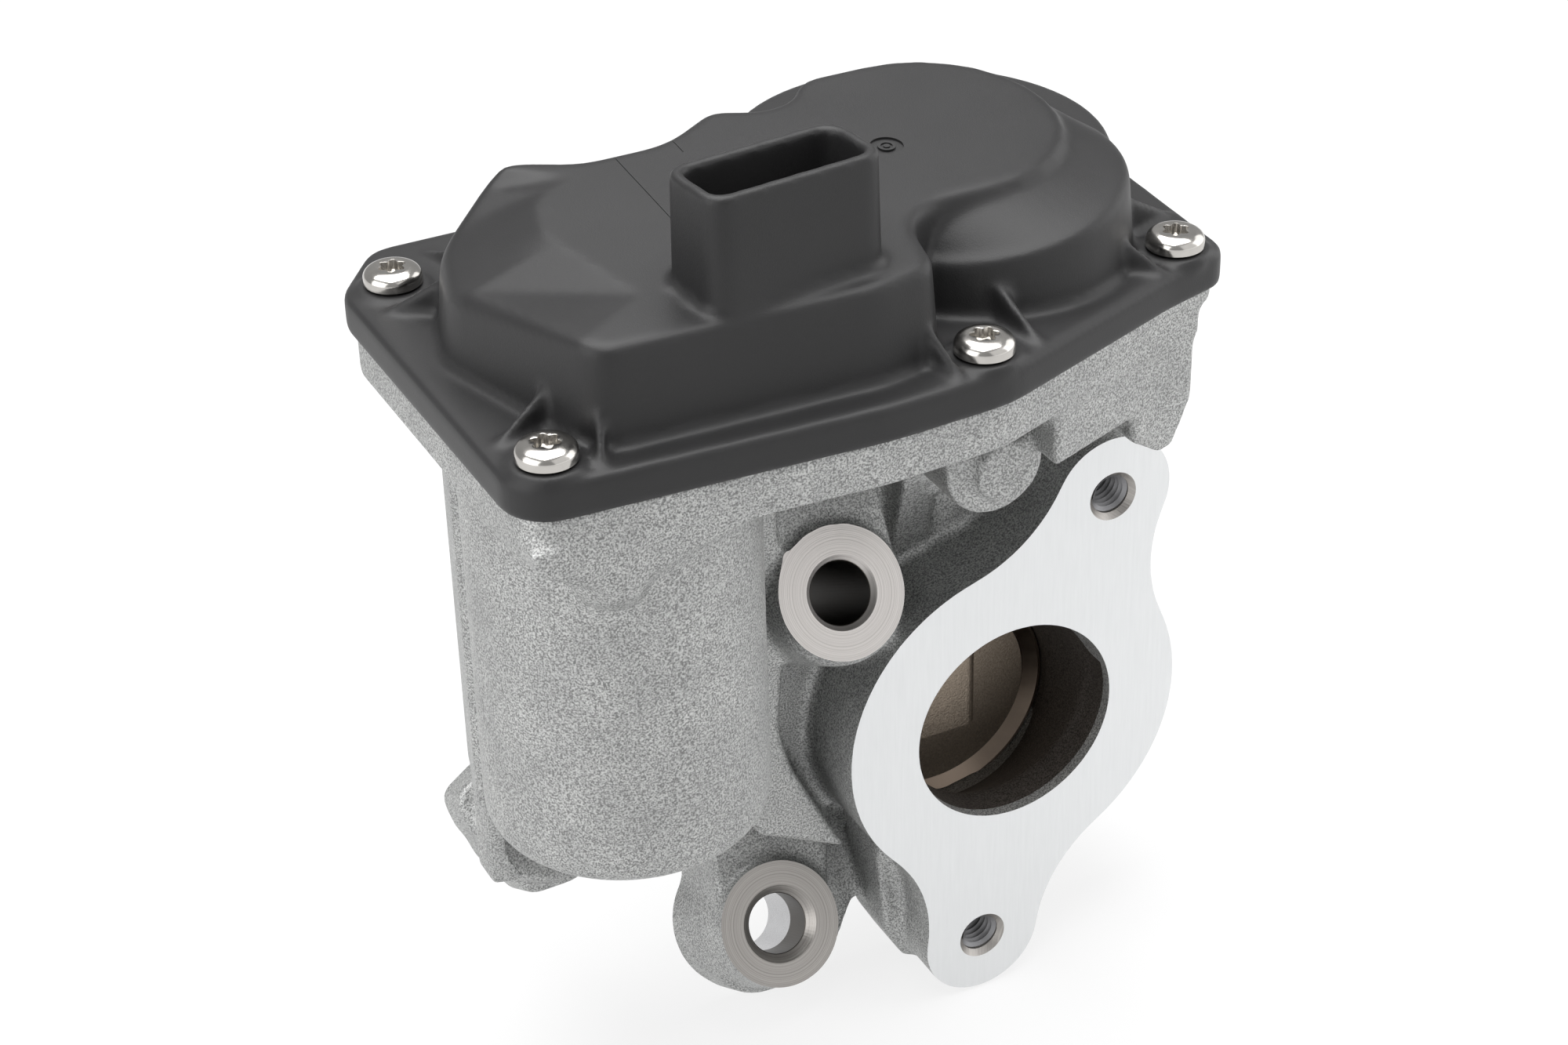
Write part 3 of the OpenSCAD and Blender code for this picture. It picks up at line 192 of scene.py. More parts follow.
# %% [markdown]
# Turned shapes, such as drills and screw heads, come from one profile spun round an axis, as on a
# lathe. A circle's vertices are moved onto the profile and the spin does the rest. Where the profile
# starts and ends on the axis, the edge along the axis is left out, because it would spin to nothing.

# %% A lathe
SEED = 0.01  # radius of a new circle in metres: any will do, as each vertex is then moved
WELD = 1e-7  # vertices nearer than this, in metres, become one


def lathe(name, profile, foot, way, steps=48, ring=False):
    """Spins (radius, distance) points round an axis; a ring's profile stays clear of the axis."""
    deselect()
    bpy.ops.mesh.primitive_circle_add(vertices=len(profile), radius=SEED)
    piece = bpy.context.object
    piece.name = name
    for vertex, (radius, along) in zip(piece.data.vertices, profile):
        vertex.co = Vector((radius, 0, along)) * MM
    ends = {0, len(profile) - 1}
    if not ring:
        open_with(piece, "EDGE", lambda edge: {vertex.index for vertex in edge.verts} == ends)
        bpy.ops.mesh.delete(type="EDGE")
        close()
    open_with(piece, "VERT", lambda vertex: True)
    bpy.ops.mesh.spin(steps=steps, angle=math.tau, center=(0, 0, 0), axis=(0, 0, 1))
    bpy.ops.mesh.select_all(action="SELECT")
    bpy.ops.mesh.remove_doubles(threshold=WELD)
    bpy.ops.mesh.normals_make_consistent(inside=False)
    close()
    piece.location = foot * MM
    piece.rotation_euler = way.to_track_quat("Z", "Y").to_euler()
    place_in_mesh(piece)
    return piece


def disc(name, radius, foot, way, length, steps=64):
    """A plain round bar: a drill, a milling head or a plug."""
    return lathe(name, [(0, 0), (radius, 0), (radius, length), (0, length)], foot, way, steps)


# %% [markdown]
# Shapes with one outline all along, such as walls, ribs and a milling path, are an outline extruded
# along a direction. It is drawn in numbers, so that it can be read off the photograph's own edges.

# %% A prism
def prism(name, outline, foot, way, length):
    """Extrudes an outline of (across, up) points from a foot along a direction."""
    deselect()
    bpy.ops.mesh.primitive_circle_add(vertices=len(outline), radius=SEED, fill_type="NGON")
    piece = bpy.context.object
    piece.name = name
    up_way = across.cross(way)
    for vertex, (first, second) in zip(piece.data.vertices, outline):
        vertex.co = (foot + across * first + up_way * second) * MM
    open_with(piece, "FACE", lambda face: True)
    bpy.ops.mesh.extrude_region_move(TRANSFORM_OT_translate={"value": way * length * MM})
    bpy.ops.mesh.select_all(action="SELECT")
    bpy.ops.mesh.normals_make_consistent(inside=False)
    close()
    return piece


def joined(name, parts):
    """Joins several shapes into one object."""
    deselect()
    for part in parts:
        part.select_set(True)
    bpy.context.view_layer.objects.active = parts[0]
    bpy.ops.object.join()
    parts[0].name = name
    return parts[0]


# %% [markdown]
# The camera was fitted to the photograph: a 72 mm lens on a 36 mm sensor, a little over 45 cm away,
# looking down by about 31 degrees from the front left. Its three directions are worked out from those
# angles, because a matrix of directions leaves no doubt about the order of turns.

# %% Camera at the photograph's angle
view_turn = math.radians(-26.2)
view_height = math.radians(31.3)
view_roll = math.radians(-1.5)
view_distance = 455.4 * MM
view_shift = Vector((33.6, -28.9)) * MM

back = Vector((
    math.sin(view_turn) * math.cos(view_height),
    -math.cos(view_turn) * math.cos(view_height),
    math.sin(view_height),
))
level_right = Vector((math.cos(view_turn), math.sin(view_turn), 0))
level_up = back.cross(level_right)
right = level_right * math.cos(view_roll) + level_up * math.sin(view_roll)
up = level_up * math.cos(view_roll) - level_right * math.sin(view_roll)

bpy.ops.object.camera_add()
camera = bpy.context.object
camera.name = "photo_camera"
camera.matrix_world = Matrix((right, up, back)).transposed().to_4x4()
camera.location = back * view_distance - right * view_shift.x - up * view_shift.y
camera.data.lens = 72
camera.data.sensor_width = 36
camera.data.clip_start = 0.01
bpy.context.scene.camera = camera
print("camera at", [round(c, 3) for c in camera.location])

# %% [markdown]
# Materials are built from nodes. In the editor each sum is a Math node that is wired by hand. Here a
# small class wraps a shader value, so that a sum written in Python adds the Math nodes for it, and
# one method adds any other kind of node.

# %% Shader values
class Wire:
    """One shader value; arithmetic on it adds Math nodes."""

    def __init__(self, sheet, socket):
        self.sheet, self.socket = sheet, socket

    def maths(self, operation, first, second):
        return self.sheet.add("ShaderNodeMath", {"operation": operation}, {0: first, 1: second})

    def __add__(self, other):
        return self.maths("ADD", self, other)

    def __sub__(self, other):
        return self.maths("SUBTRACT", self, other)

    def __rsub__(self, other):
        return self.maths("SUBTRACT", other, self)

    def __mul__(self, other):
        return self.maths("MULTIPLY", self, other)

    def __pow__(self, other):
        return self.maths("POWER", self, other)

    def __gt__(self, other):
        return self.maths("GREATER_THAN", self, other)

    def __lt__(self, other):
        return self.maths("LESS_THAN", self, other)

    __radd__, __rmul__ = __add__, __mul__


class Sheet:
    """A tree of nodes with one way of adding to it."""

    def __init__(self, tree):
        self.tree = tree

    def add(self, kind, settings=None, inputs=None, output=0):
        """Adds one node: first its settings, then the values or links of its sockets."""
        made = self.tree.nodes.new(kind)
        for name, value in (settings or {}).items():
            setattr(made, name, value)
        for name, value in (inputs or {}).items():
            if isinstance(value, Wire):
                self.tree.links.new(value.socket, made.inputs[name])
            else:
                made.inputs[name].default_value = value
        return Wire(self, made.outputs[output])


# %% [markdown]
# A finish is one material. What is the same all over is set on the shader's own sockets, and what
# changes over the surface comes from noise on Object coordinates, which stay put when the piece
# moves. Sizes are given in millimetres, so that a grain can be measured on the photograph.

# %% Finishes
class Finish(Sheet):
    """A procedural material with one Principled shader."""

    def __init__(self, name, **constants):
        self.material = bpy.data.materials.new(name)
        self.material.use_nodes = True
        super().__init__(self.material.node_tree)
        self.shader = self.tree.nodes["Principled BSDF"]
        for socket, value in constants.items():
            self.shader.inputs[socket.replace("_", " ")].default_value = value
        self.place = self.add("ShaderNodeTexCoord", output="Object")

    def noise(self, size, detail=2, roughness=0.5, stretch=(1, 1, 1)):
        """Soft blotches about size millimetres across, from 0 to 1."""
        where = self.add("ShaderNodeMapping", None, {"Vector": self.place, "Scale": stretch})
        return self.add("ShaderNodeTexNoise", None, {
            "Vector": where, "Scale": 1 / (size * MM), "Detail": detail, "Roughness": roughness,
        })

    def stretched(self, value, low, high):
        """Spreads the part of a value between low and high over 0 to 1."""
        return self.add("ShaderNodeMapRange", {"clamp": True},
                        {"Value": value, "From Min": low, "From Max": high})

    def mixed(self, mask, first, second):
        """The first colour where the mask is 0, and the second where it is 1."""
        return self.add("ShaderNodeMix", {"data_type": "RGBA"}, {0: mask, 6: first, 7: second}, output=2)

    def dot(self, first, second):
        """Length of one vector along another."""
        return self.add("ShaderNodeVectorMath", {"operation": "DOT_PRODUCT"}, {0: first, 1: second},
                        output=1)

    def along(self, way):
        """Distance in millimetres from the origin along a direction."""
        return self.dot(self.place, way) * (1 / MM)

    def from_axis(self, foot, way):
        """Distance in millimetres from a line."""
        away = self.add("ShaderNodeVectorMath", {"operation": "SUBTRACT"}, {0: self.place, 1: foot * MM})
        level = self.dot(away, way)
        return (self.dot(away, away) - level * level) ** 0.5 * (1 / MM)

    def feed(self, **values):
        """Links values to the shader's sockets."""
        for socket, value in values.items():
            self.tree.links.new(value.socket, self.shader.inputs[socket.replace("_", " ")])

    def relief(self, *layers):
        """Bump made of several (height, depth in millimetres) layers, one over the other."""
        normal = None
        for height, depth in layers:
            sockets = {"Height": height, "Distance": depth * MM}
            if normal:
                sockets["Normal"] = normal
            normal = self.add("ShaderNodeBump", None, sockets)
        self.feed(Normal=normal)


def tone(*parts):
    """A colour from one grey value or three channels, with its alpha."""
    return (*(parts * 3 if len(parts) == 1 else parts), 1)


# %% [markdown]
# The body is die-cast aluminium, blasted with grit: light grey, dull, with a sparkle of tiny dents
# and soft darker clouds. Real dents are too small to model, so noise of several sizes makes them as
# bump, and the same noise shades the colour. Exhaust gas has turned the passage dark and brown. A
# second piece could show that, but a mask by the distance from the passage's axis needs no seam.

# %% Blasted casting
passage_middle = Vector((-1.5, 0, -3))
passage_reach = 18.4
mouth_depth = 1.7


def blasted_casting():
    """Grey and grainy outside, sooty in the gas passage behind the mouth."""
    cast = Finish("cast_aluminium", Metallic=0.85, Roughness=0.5)
    grain = cast.noise(0.26, 2, 0.65)
    specks = cast.stretched(grain, 0.38, 0.62)
    clouds = cast.stretched(cast.noise(8, 3), 0.3, 0.7)
    pale = cast.mixed(clouds, tone(0.5, 0.505, 0.5), tone(0.61, 0.615, 0.605))
    grainy = cast.mixed(specks, tone(0.19, 0.192, 0.19), pale)
    sooty = cast.mixed(specks, tone(0.05, 0.044, 0.04), tone(0.15, 0.135, 0.122))
    in_passage = cast.from_axis(passage_middle, into_valve) < passage_reach
    past_mouth = cast.along(into_valve) > mouth_depth
    cast.feed(
        Base_Color=cast.mixed(in_passage * past_mouth, grainy, sooty),
        Roughness=0.46 + grain * 0.2,
    )
    cast.relief((cast.noise(2.2, 2), 0.07), (grain, 0.07))
    return cast.material


casting = blasted_casting()
print("finish", casting.name)

# %% [markdown]
# Faces that seal or carry a bolt are cut clean. The front flange is milled bright, with short streaks
# from stretched noise. The bolt bosses are turned, so fine rings run round their bores: this noise
# changes only with the distance from the bore's axis, and inside the bore the colour is painted shade.

# %% Milled and turned metal
bore_shade = 4.6


def milled_face():
    """Bright metal with short, faint streaks."""
    face = Finish("milled_face", Metallic=0.85, Roughness=0.38)
    streaks = face.noise(0.5, 3, 0.6, (1, 1, 0.06))
    face.feed(
        Base_Color=face.mixed(streaks, tone(0.72, 0.73, 0.735), tone(0.8, 0.81, 0.815)),
        Roughness=0.4 + face.noise(6, 2) * 0.12,
    )
    face.relief((streaks, 0.006))
    return face.material


def turned_face(name, foot, way, pale, dark):
    """Metal with fine rings round an axis, and painted shade within the bore."""
    turned = Finish(name, Metallic=0.9, Roughness=0.35)
    radius = turned.from_axis(foot, way)
    rings = turned.add("ShaderNodeTexNoise", {"noise_dimensions": "1D"},
                       {"W": radius, "Scale": 4.5, "Detail": 3})
    face = turned.mixed(turned.stretched(rings, 0.3, 0.7), dark, pale)
    turned.feed(
        # Inside the bore the colour is painted shade, as dark as a deep hole looks.
        Base_Color=turned.mixed(radius < bore_shade, face, tone(0.085, 0.078, 0.07)),
        Roughness=0.28 + rings * 0.2,
    )
    turned.relief((rings, 0.03))
    return turned.material


milled = milled_face()
turned_upper = turned_face("turned_upper_boss", upper_bolt, bolt_way,
                           tone(0.68, 0.65, 0.63), tone(0.54, 0.515, 0.495))
# The lower finish is a darker copy of the upper one: painted shade, used on the lower boss and the other
# bores.
turned_painted_shade = turned_face("turned_boss_painted_shade", lower_bolt, bolt_way,
                           tone(0.42, 0.4, 0.38), tone(0.3, 0.285, 0.27))
print("finishes", milled.name, turned_upper.name, turned_painted_shade.name)

# %% [markdown]
# The cover is moulded in black plastic in a spark-eroded tool: an even, dull grain, with faint clouds
# where the melt flowed. The grain is bump, because it is far too fine for faces, and the clouds
# change colour and roughness only a little. The seal and other plastic parts use the same recipe.

# %% Moulded plastic
def moulded(name, colour, roughness, grain_size=0.22, grain_depth=0.02):
    """Dull plastic or rubber with a fine grain."""
    skin = Finish(name, Roughness=roughness, Specular_IOR_Level=0.35)
    grain = skin.noise(grain_size, 2, 0.6)
    clouds = skin.noise(14, 3)
    lighter = tone(*(c * 1.35 + 0.002 for c in colour[:3]))
    skin.feed(
        Base_Color=skin.mixed(clouds, colour, lighter),
        Roughness=roughness - 0.06 + clouds * 0.12,
    )
    skin.relief((grain, grain_depth))
    return skin.material


cover_plastic = moulded("cover_plastic", tone(0.013, 0.0128, 0.0132), 0.46)
print("finish", cover_plastic.name)

# %% [markdown]
# Every other metal part gets a workshop finish of its own metal: a colour, a shine, and marks that
# vary both over a millimetre or so. Marks may be streaked along an axis, as on ground and drawn
# parts. The flap has sat in hot gas, so its marks are strong and rough.

# %% Workshop finishes for the other parts
def metal(name, colour, roughness, streak=(1, 1, 1), size=1.6, relief=0.006, metallic=1.0, dark=0.78):
    """Bare metal whose marks go down to a share of its colour."""
    part = Finish(name, Metallic=metallic, Roughness=roughness)
    marks = part.noise(size, 3, 0.6, streak)
    darker = tone(*(c * dark for c in colour[:3]))
    part.feed(
        Base_Color=part.mixed(marks, darker, colour),
        Roughness=roughness - 0.05 + marks * 0.12,
    )
    part.relief((part.noise(0.3, 2, 0.5, streak), relief))
    return part.material


finish_of = {
    "cover_plastic": cover_plastic,
    "cast_aluminium": casting,
    "seal_rubber": moulded("seal_rubber", tone(0.012), 0.7),
    "stainless": metal("stainless", tone(0.6, 0.58, 0.55), 0.17, size=3, relief=0.002),
    "contact_tin": metal("contact_tin", tone(0.78, 0.77, 0.74), 0.25, (1, 1, 0.2)),
    "board": moulded("board", tone(0.01, 0.09, 0.035), 0.4, 0.6, 0.01),
    "seat_steel": metal("seat_steel", tone(0.24, 0.19, 0.15), 0.3, (1, 0.1, 1)),
    "bronze": metal("bronze", tone(0.5, 0.33, 0.16), 0.38, size=0.5),
    "steel": metal("steel", tone(0.56, 0.56, 0.57), 0.26),
    "can_steel": metal("can_steel", tone(0.6, 0.61, 0.62), 0.32, (1, 1, 0.1)),
    "magnet": metal("magnet", tone(0.12, 0.12, 0.13), 0.6, size=0.8, metallic=0.4),
    "dark_plastic": moulded("dark_plastic", tone(0.02, 0.02, 0.022), 0.45),
    "carbon": metal("carbon", tone(0.05, 0.05, 0.055), 0.5, size=0.4, metallic=0.3),
    "flap_steel": metal("flap_steel", tone(0.62, 0.52, 0.42), 0.5, size=0.3, relief=0.06, dark=0.3),
    "gear_plastic": moulded("gear_plastic", tone(0.58, 0.54, 0.44), 0.42),
    "spring_steel": metal("spring_steel", tone(0.36, 0.37, 0.4), 0.28),
    "core_steel": metal("core_steel", tone(0.3, 0.3, 0.31), 0.45, (0.3, 0.3, 3), 0.4),
    "copper": metal("copper", tone(0.72, 0.32, 0.17), 0.3, size=0.5),
    "brass": metal("brass", tone(0.72, 0.55, 0.27), 0.28),
}
for name, solid in node.items():
    solid.data.materials.clear()
    solid.data.materials.append(finish_of[slot_of[name]])
print(len(finish_of), "finishes on", len(node), "nodes")

# %% [markdown]
# The photograph is a studio picture on white. A large pale floor takes a soft shadow. Its white, and
# the world's, is painted for camera, glass and mirror rays only, so it adds no light to the object
# and yet shows in bright metal. A brighter lamp would whiten the floor too, but also the flange.

# %% Pale floor
def seen_only(sheet, mirror_share):
    """One for rays that reach a camera or pass glass, a share for mirror rays, nought as light."""
    outputs = sheet.add("ShaderNodeLightPath").socket.node.outputs
    camera_ray, mirror_ray, glass_ray = (
        Wire(sheet, outputs[name])
        for name in ("Is Camera Ray", "Is Glossy Ray", "Is Transmission Ray")
    )
    return camera_ray + mirror_ray * mirror_share + glass_ray


floor_gap = 0.2
floor_height = cad_box[0].z - floor_gap * MM
bpy.ops.mesh.primitive_plane_add(size=6, location=(0, 0, floor_height))
floor = bpy.context.object
floor.name = "pale_floor"
paint = bpy.data.materials.new("pale_floor")
paint.use_nodes = True
sheet = Sheet(paint.node_tree)
sheet.tree.nodes.remove(sheet.tree.nodes["Principled BSDF"])
matt = sheet.add("ShaderNodeBsdfDiffuse", None, {"Color": tone(0.8)})
white = sheet.add("ShaderNodeEmission", None, {"Color": tone(1), "Strength": 1.0})
both = sheet.add("ShaderNodeMixShader", None, {0: seen_only(sheet, 1) * 0.8, 1: matt, 2: white})
sheet.tree.links.new(both.socket, sheet.tree.nodes["Material Output"].inputs["Surface"])
floor.data.materials.append(paint)
print("floor at", round(floor_height / MM, 1), "mm")

# %% [markdown]
# The world gives a little even light from all round, and bright metal mirrors only part of its
# white, so that the milled flange doesn't burn out. Four big, soft lamps light the object evenly,
# so that a colour renders about as it is written.

# %% World and lamps
world_light = 0.15
world = bpy.data.worlds.new("white_studio")
world.use_nodes = True
bpy.context.scene.world = world
sky = Sheet(world.node_tree)
glow = sky.tree.nodes["Background"]
glow.inputs["Color"].default_value = tone(1)
strength = world_light + seen_only(sky, 0.3) * (1 - world_light)
sky.tree.links.new(strength.socket, glow.inputs["Strength"])


def soft_lamp(name, place, aim, size, watts):
    """A large square lamp at a place in metres, turned towards a point."""
    deselect()
    bpy.ops.object.light_add(type="AREA", location=place)
    lamp = bpy.context.object
    lamp.name = name
    lamp.data.size = size
    lamp.data.energy = watts
    lamp.rotation_euler = (Vector(place) - Vector(aim)).to_track_quat("Z", "Y").to_euler()


middle = (cad_box[0] + cad_box[1]) / 2
soft_lamp("front_right", (0.45, -0.7, 0.35), middle, 1.2, 2.6)
soft_lamp("left", (-0.85, -0.15, 0.3), middle, 0.9, 5.2)
soft_lamp("right", (0.85, -0.1, 0.3), middle, 0.9, 4)
soft_lamp("top", (-0.05, 0.1, 0.85), middle, 1.0, 16)
bpy.context.scene.view_settings.view_transform = "Standard"
print("world at", world_light, "and four lamps")

# %% [markdown]
# The housing is one aluminium die casting that is machined afterwards, and it is made here in that
# order. The blank is a copy of the CAD node. The faces that will be cut, which are the front flange,
# two bolt bosses and the rear face, first get spare metal, so that the cutters leave crisp edges.
# Rounding the edges with bevels would also do, but not where so many walls run into each other.

# %% Casting blank with spare metal
CAD_WELD = 1e-6  # the CAD nodes' loose triangles meet within this, in metres
spare = 1.2


def copy_of(name, piece_name):
    """A copy of a CAD node with its loose triangles merged."""
    piece = node[name].copy()
    piece.data = node[name].data.copy()
    piece.name = piece_name
    bpy.context.scene.collection.objects.link(piece)
    open_with(piece, "VERT", lambda vertex: True)
    bpy.ops.mesh.remove_doubles(threshold=CAD_WELD)
    close()
    return piece


def spare_metal(piece, foot, way, reach):
    """Thickens the metal of a flat face that lies at foot and faces way."""
    def on_face(face):
        away = face.calc_center_median() / MM - foot
        level = away.dot(way)
        square = face.normal.dot(way) > 0.99
        return abs(level) < 0.05 and square and (away - way * level).length < reach

    open_with(piece, "FACE", on_face)
    bpy.ops.mesh.extrude_region_move(TRANSFORM_OT_translate={"value": way * spare * MM})
    close()


blank = copy_of("housing", "cast_body")
spare_metal(blank, Vector((0, 0, 0)), -into_valve, 60)
spare_metal(blank, upper_bolt + bolt_way * upper_face_at, -bolt_way, 14)
spare_metal(blank, lower_bolt + bolt_way * lower_face_at, -bolt_way, 14)
spare_metal(blank, bolt_way * rear_face_at, bolt_way, 120)
print("blank with spare metal:", triangles(blank), "triangles")

# %% [markdown]
# The bores are drilled into the real casting later, so the blank's bores are plugged with round bars
# that are a little thicker than the holes. Left open, they would come out of the softening rounded
# and too wide.

# %% Plugs in the bores
bolt_radius = 4.5
rear_thread_radius = 4.0
wall_bite = 0.3
plugs = [disc("thread_plug", 3.6, place - into_valve * spare, into_valve, 13, 32)
         for place in flange_threads]
for bolt, start, radius in [
    (upper_bolt, upper_face_at, bolt_radius),
    (lower_bolt, lower_face_at, bolt_radius),
    (ear_bolt, ear_face_at, bolt_radius),
    (rear_thread, thread_face_at, rear_thread_radius),
]:
    plugs.append(disc("bolt_plug", radius + wall_bite, bolt + bolt_way * (start - spare), bolt_way,
                      rear_face_at - start + 2 * spare, 32))
plugs.append(disc("dowel_plug", 6.8, lower_bolt + bolt_way * 28, bolt_way, 11.2, 32))
print(len(plugs), "plugs")

# %% [markdown]
# Some small forms of the casting show in the photograph and not in the CAD: the rim flares out over
# the barrel's front corner, a round bump sits under that corner screw, a rib runs down the barrel, a
# round pad stands on the front lug, and a wall closes the corner between flange and lower boss. Each
# is a plain solid that sinks into the blank, because the softening melts them together.

# %% Small cast forms
flare_outline = [
    (-82, 66), (-81, 62.5), (-76.5, 60.2), (-72.5, 58.2), (-67, 58.2), (-61, 60.4), (-52, 62.6),
    (-52, 66),
]
rib_outline = [(-79.6, 9.9), (-78.6, 8.9), (-77.2, 9.9), (-74.8, 14.5), (-74.8, 22), (-76.2, 22)]
wall_outline = [
    (-19.5, -14), (-18.4, -26), (-17.3, -38), (-14, -44), (-4, -45.5), (6, -39), (10, -30), (12, -18),
    (6, -21.3), (-1.5, -22.8), (-9, -21.3), (-15, -17.4),
]
bump_radius = 5.4
bump_angles = [math.radians(15 * k) for k in range(-5, 1)]
bump_profile = [
    (0, -bump_radius),
    *((bump_radius * math.cos(a), bump_radius * math.sin(a)) for a in bump_angles),
    (bump_radius, 6),
    (0, 6),
]
cast_forms = [
    prism("rim_flare", flare_outline, Vector((0, -24.4, 0)), into_valve, 8),
    lathe("rim_key", bump_profile, Vector((-70.2, -19.3, 58.7)), upwards, 32),
    prism("barrel_rib", rib_outline, Vector((0, 0, 63)), -upwards, 57),
    disc("lug_pad", 4.8, Vector((-10.1, -14.2, 52.3)), into_valve, 4, 40),
    prism("under_wall", wall_outline, Vector((0, 8, 0)), into_valve, 10.5),
]
print(len(cast_forms), "small forms")

# %% [markdown]
# Walls of a casting run into each other in soft fillets, and every outer edge is rounded, because
# molten metal fills and leaves a mould better that way. A voxel remesh makes one even skin of all
# the shapes. The skin is pushed out, remeshed and drawn back in: what met in a hollow corner stays
# filled, as a fillet, and smoothing rounds the outer edges.

# %% Soft skin
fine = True
casting_triangles = 175000
cover_triangles = 180000


def even_skin(piece, voxel, passes):
    """Makes one even mesh of a piece, and smooths it."""
    run(piece, "REMESH", mode="VOXEL", voxel_size=voxel)
    run(piece, "SMOOTH", factor=0.5, iterations=passes)


def softened(piece, voxel, fillet, most):
    """Turns a sharp-edged solid into one with fillets and rounded edges."""
    voxel = voxel * MM * (1 if fine else 1.5)
    even_skin(piece, voxel, 3)
    run(piece, "DISPLACE", direction="NORMAL", strength=fillet * MM, mid_level=0)
    even_skin(piece, voxel, 4)
    run(piece, "DISPLACE", direction="NORMAL", strength=-fillet * MM, mid_level=0)
    even_skin(piece, voxel, 1)
    run(piece, "DECIMATE", ratio=min(1, most / triangles(piece)))


blank = joined("cast_body", [blank, *plugs, *cast_forms])
softened(blank, 0.5, 0.6, casting_triangles)
print("soft casting:", triangles(blank), "triangles")

# %% [markdown]
# Then the casting is machined as the real one is: the flange is milled flat along a path just inside
# its rounded edge, the bolt bosses are spot-faced, and the rear face is cut off. A Boolean cut keeps
# those edges crisp, and its cut faces take the finish of the cutter, as real ones do.

# %% Machining the faces
def cut_with(piece, cutter, finish=None):
    """Cuts one shape out of a piece and throws the cutter away."""
    if finish:
        cutter.data.materials.clear()
        cutter.data.materials.append(finish)
    run(piece, "BOOLEAN", object=cutter, operation="DIFFERENCE", solver="MANIFOLD",
        material_mode="TRANSFER")
    bpy.data.objects.remove(cutter)


blank.data.materials.clear()
blank.data.materials.append(casting)
mill_depth = 5
mill_path = [
    (-29, 0), (-27, -12), (-20, -22), (-17, -40), (-12, -48), (-2, -49.5), (5, -45), (12, -33),
    (22, -18), (28.5, -6), (28.5, 8), (26, 22), (26.8, 36), (24, 44.8), (6, 44.8), (2, 37), (-4, 31),
    (-16, 25.5), (-21, 20), (-28, 10),
]
front_mill = prism("mill", mill_path, into_valve * -mill_depth, into_valve, mill_depth)
cut_with(blank, front_mill, milled)
for bolt, start, finish in [
    (upper_bolt, upper_face_at, turned_upper),
    (lower_bolt, lower_face_at, turned_painted_shade),
]:
    foot = bolt + bolt_way * (start - mill_depth)
    cut_with(blank, disc("spot_face", 10.6, foot, bolt_way, mill_depth), finish)
rear_foot = Vector((-20, 0, 0)) + bolt_way * rear_face_at
cut_with(blank, disc("rear_mill", 95, rear_foot, bolt_way, 6), milled)
print("faces cut:", triangles(blank), "triangles")

# %% [markdown]
# The bores are drilled through the plugged blank. A drill is turned from its profile, with a
# countersink where it enters, because a drilled edge is always broken so that it doesn't cut. The
# lower bolt's bore is widened at the back for a sleeve that finds the valve's place on the engine.

# %% Drilling the casting
tapped_radius = 3


def drill(name, radius, sink, length, foot, way, steps):
    """A drill whose countersink opens at its foot; it starts 2 mm outside the metal."""
    profile = [(0, -2), (radius + sink, -2), (radius + sink, 0), (radius, sink), (radius, length),
               (0, length)]
    return lathe(name, profile, foot, way, steps)


for place in flange_threads:
    cut_with(blank, drill("tap_drill", tapped_radius, 0.8, 12, place, into_valve, 48), turned_painted_shade)
cut_with(blank, drill("upper_drill", bolt_radius, 0.8, 54, upper_bolt + bolt_way * upper_face_at,
                      bolt_way, 64), turned_upper)
cut_with(blank, drill("lower_drill", bolt_radius, 1.3, 20, lower_bolt + bolt_way * lower_face_at,
                      bolt_way, 64), turned_painted_shade)
for name, radius, foot, length in [
    ("dowel_bore", 6.51, lower_bolt + bolt_way * 28.7, 12),
    ("ear_drill", bolt_radius, ear_bolt + bolt_way * 20, 20),
    ("rear_thread_drill", rear_thread_radius, rear_thread + bolt_way * thread_face_at, 15),
]:
    cut_with(blank, disc(name, radius, foot, bolt_way, length), turned_painted_shade)
hand_over(blank, body_of["housing"], None, ["housing"])

# %% [markdown]
# The cuts leave large faces with many corners. They are split into triangles and shaded flat, so that
# the soft shading of the rounded edges round them doesn't bleed into a face that is truly flat.

# %% Flat cut faces
open_with(blank, "FACE", lambda face: len(face.verts) > 4)
bpy.ops.mesh.quads_convert_to_tris(quad_method="BEAUTY", ngon_method="BEAUTY")
close()
open_with(blank, "FACE", lambda face: face.material_index > 0)
bpy.ops.mesh.faces_shade_flat()
close()
print("machined casting:", triangles(blank), "triangles")

# %% [markdown]
# The two flange holes are tapped. A thread is a ridge that winds up the bore like a spring, so a
# triangle is carried round and up by a Screw modifier, one pitch a turn, and its two ends are closed.
# Cutting the groove instead would cost many more faces and look the same.

# %% Threads in the flange
thread_pitch = 1
thread_turns = 10
thread_root = tapped_radius + 0.05
thread_start = 0.5


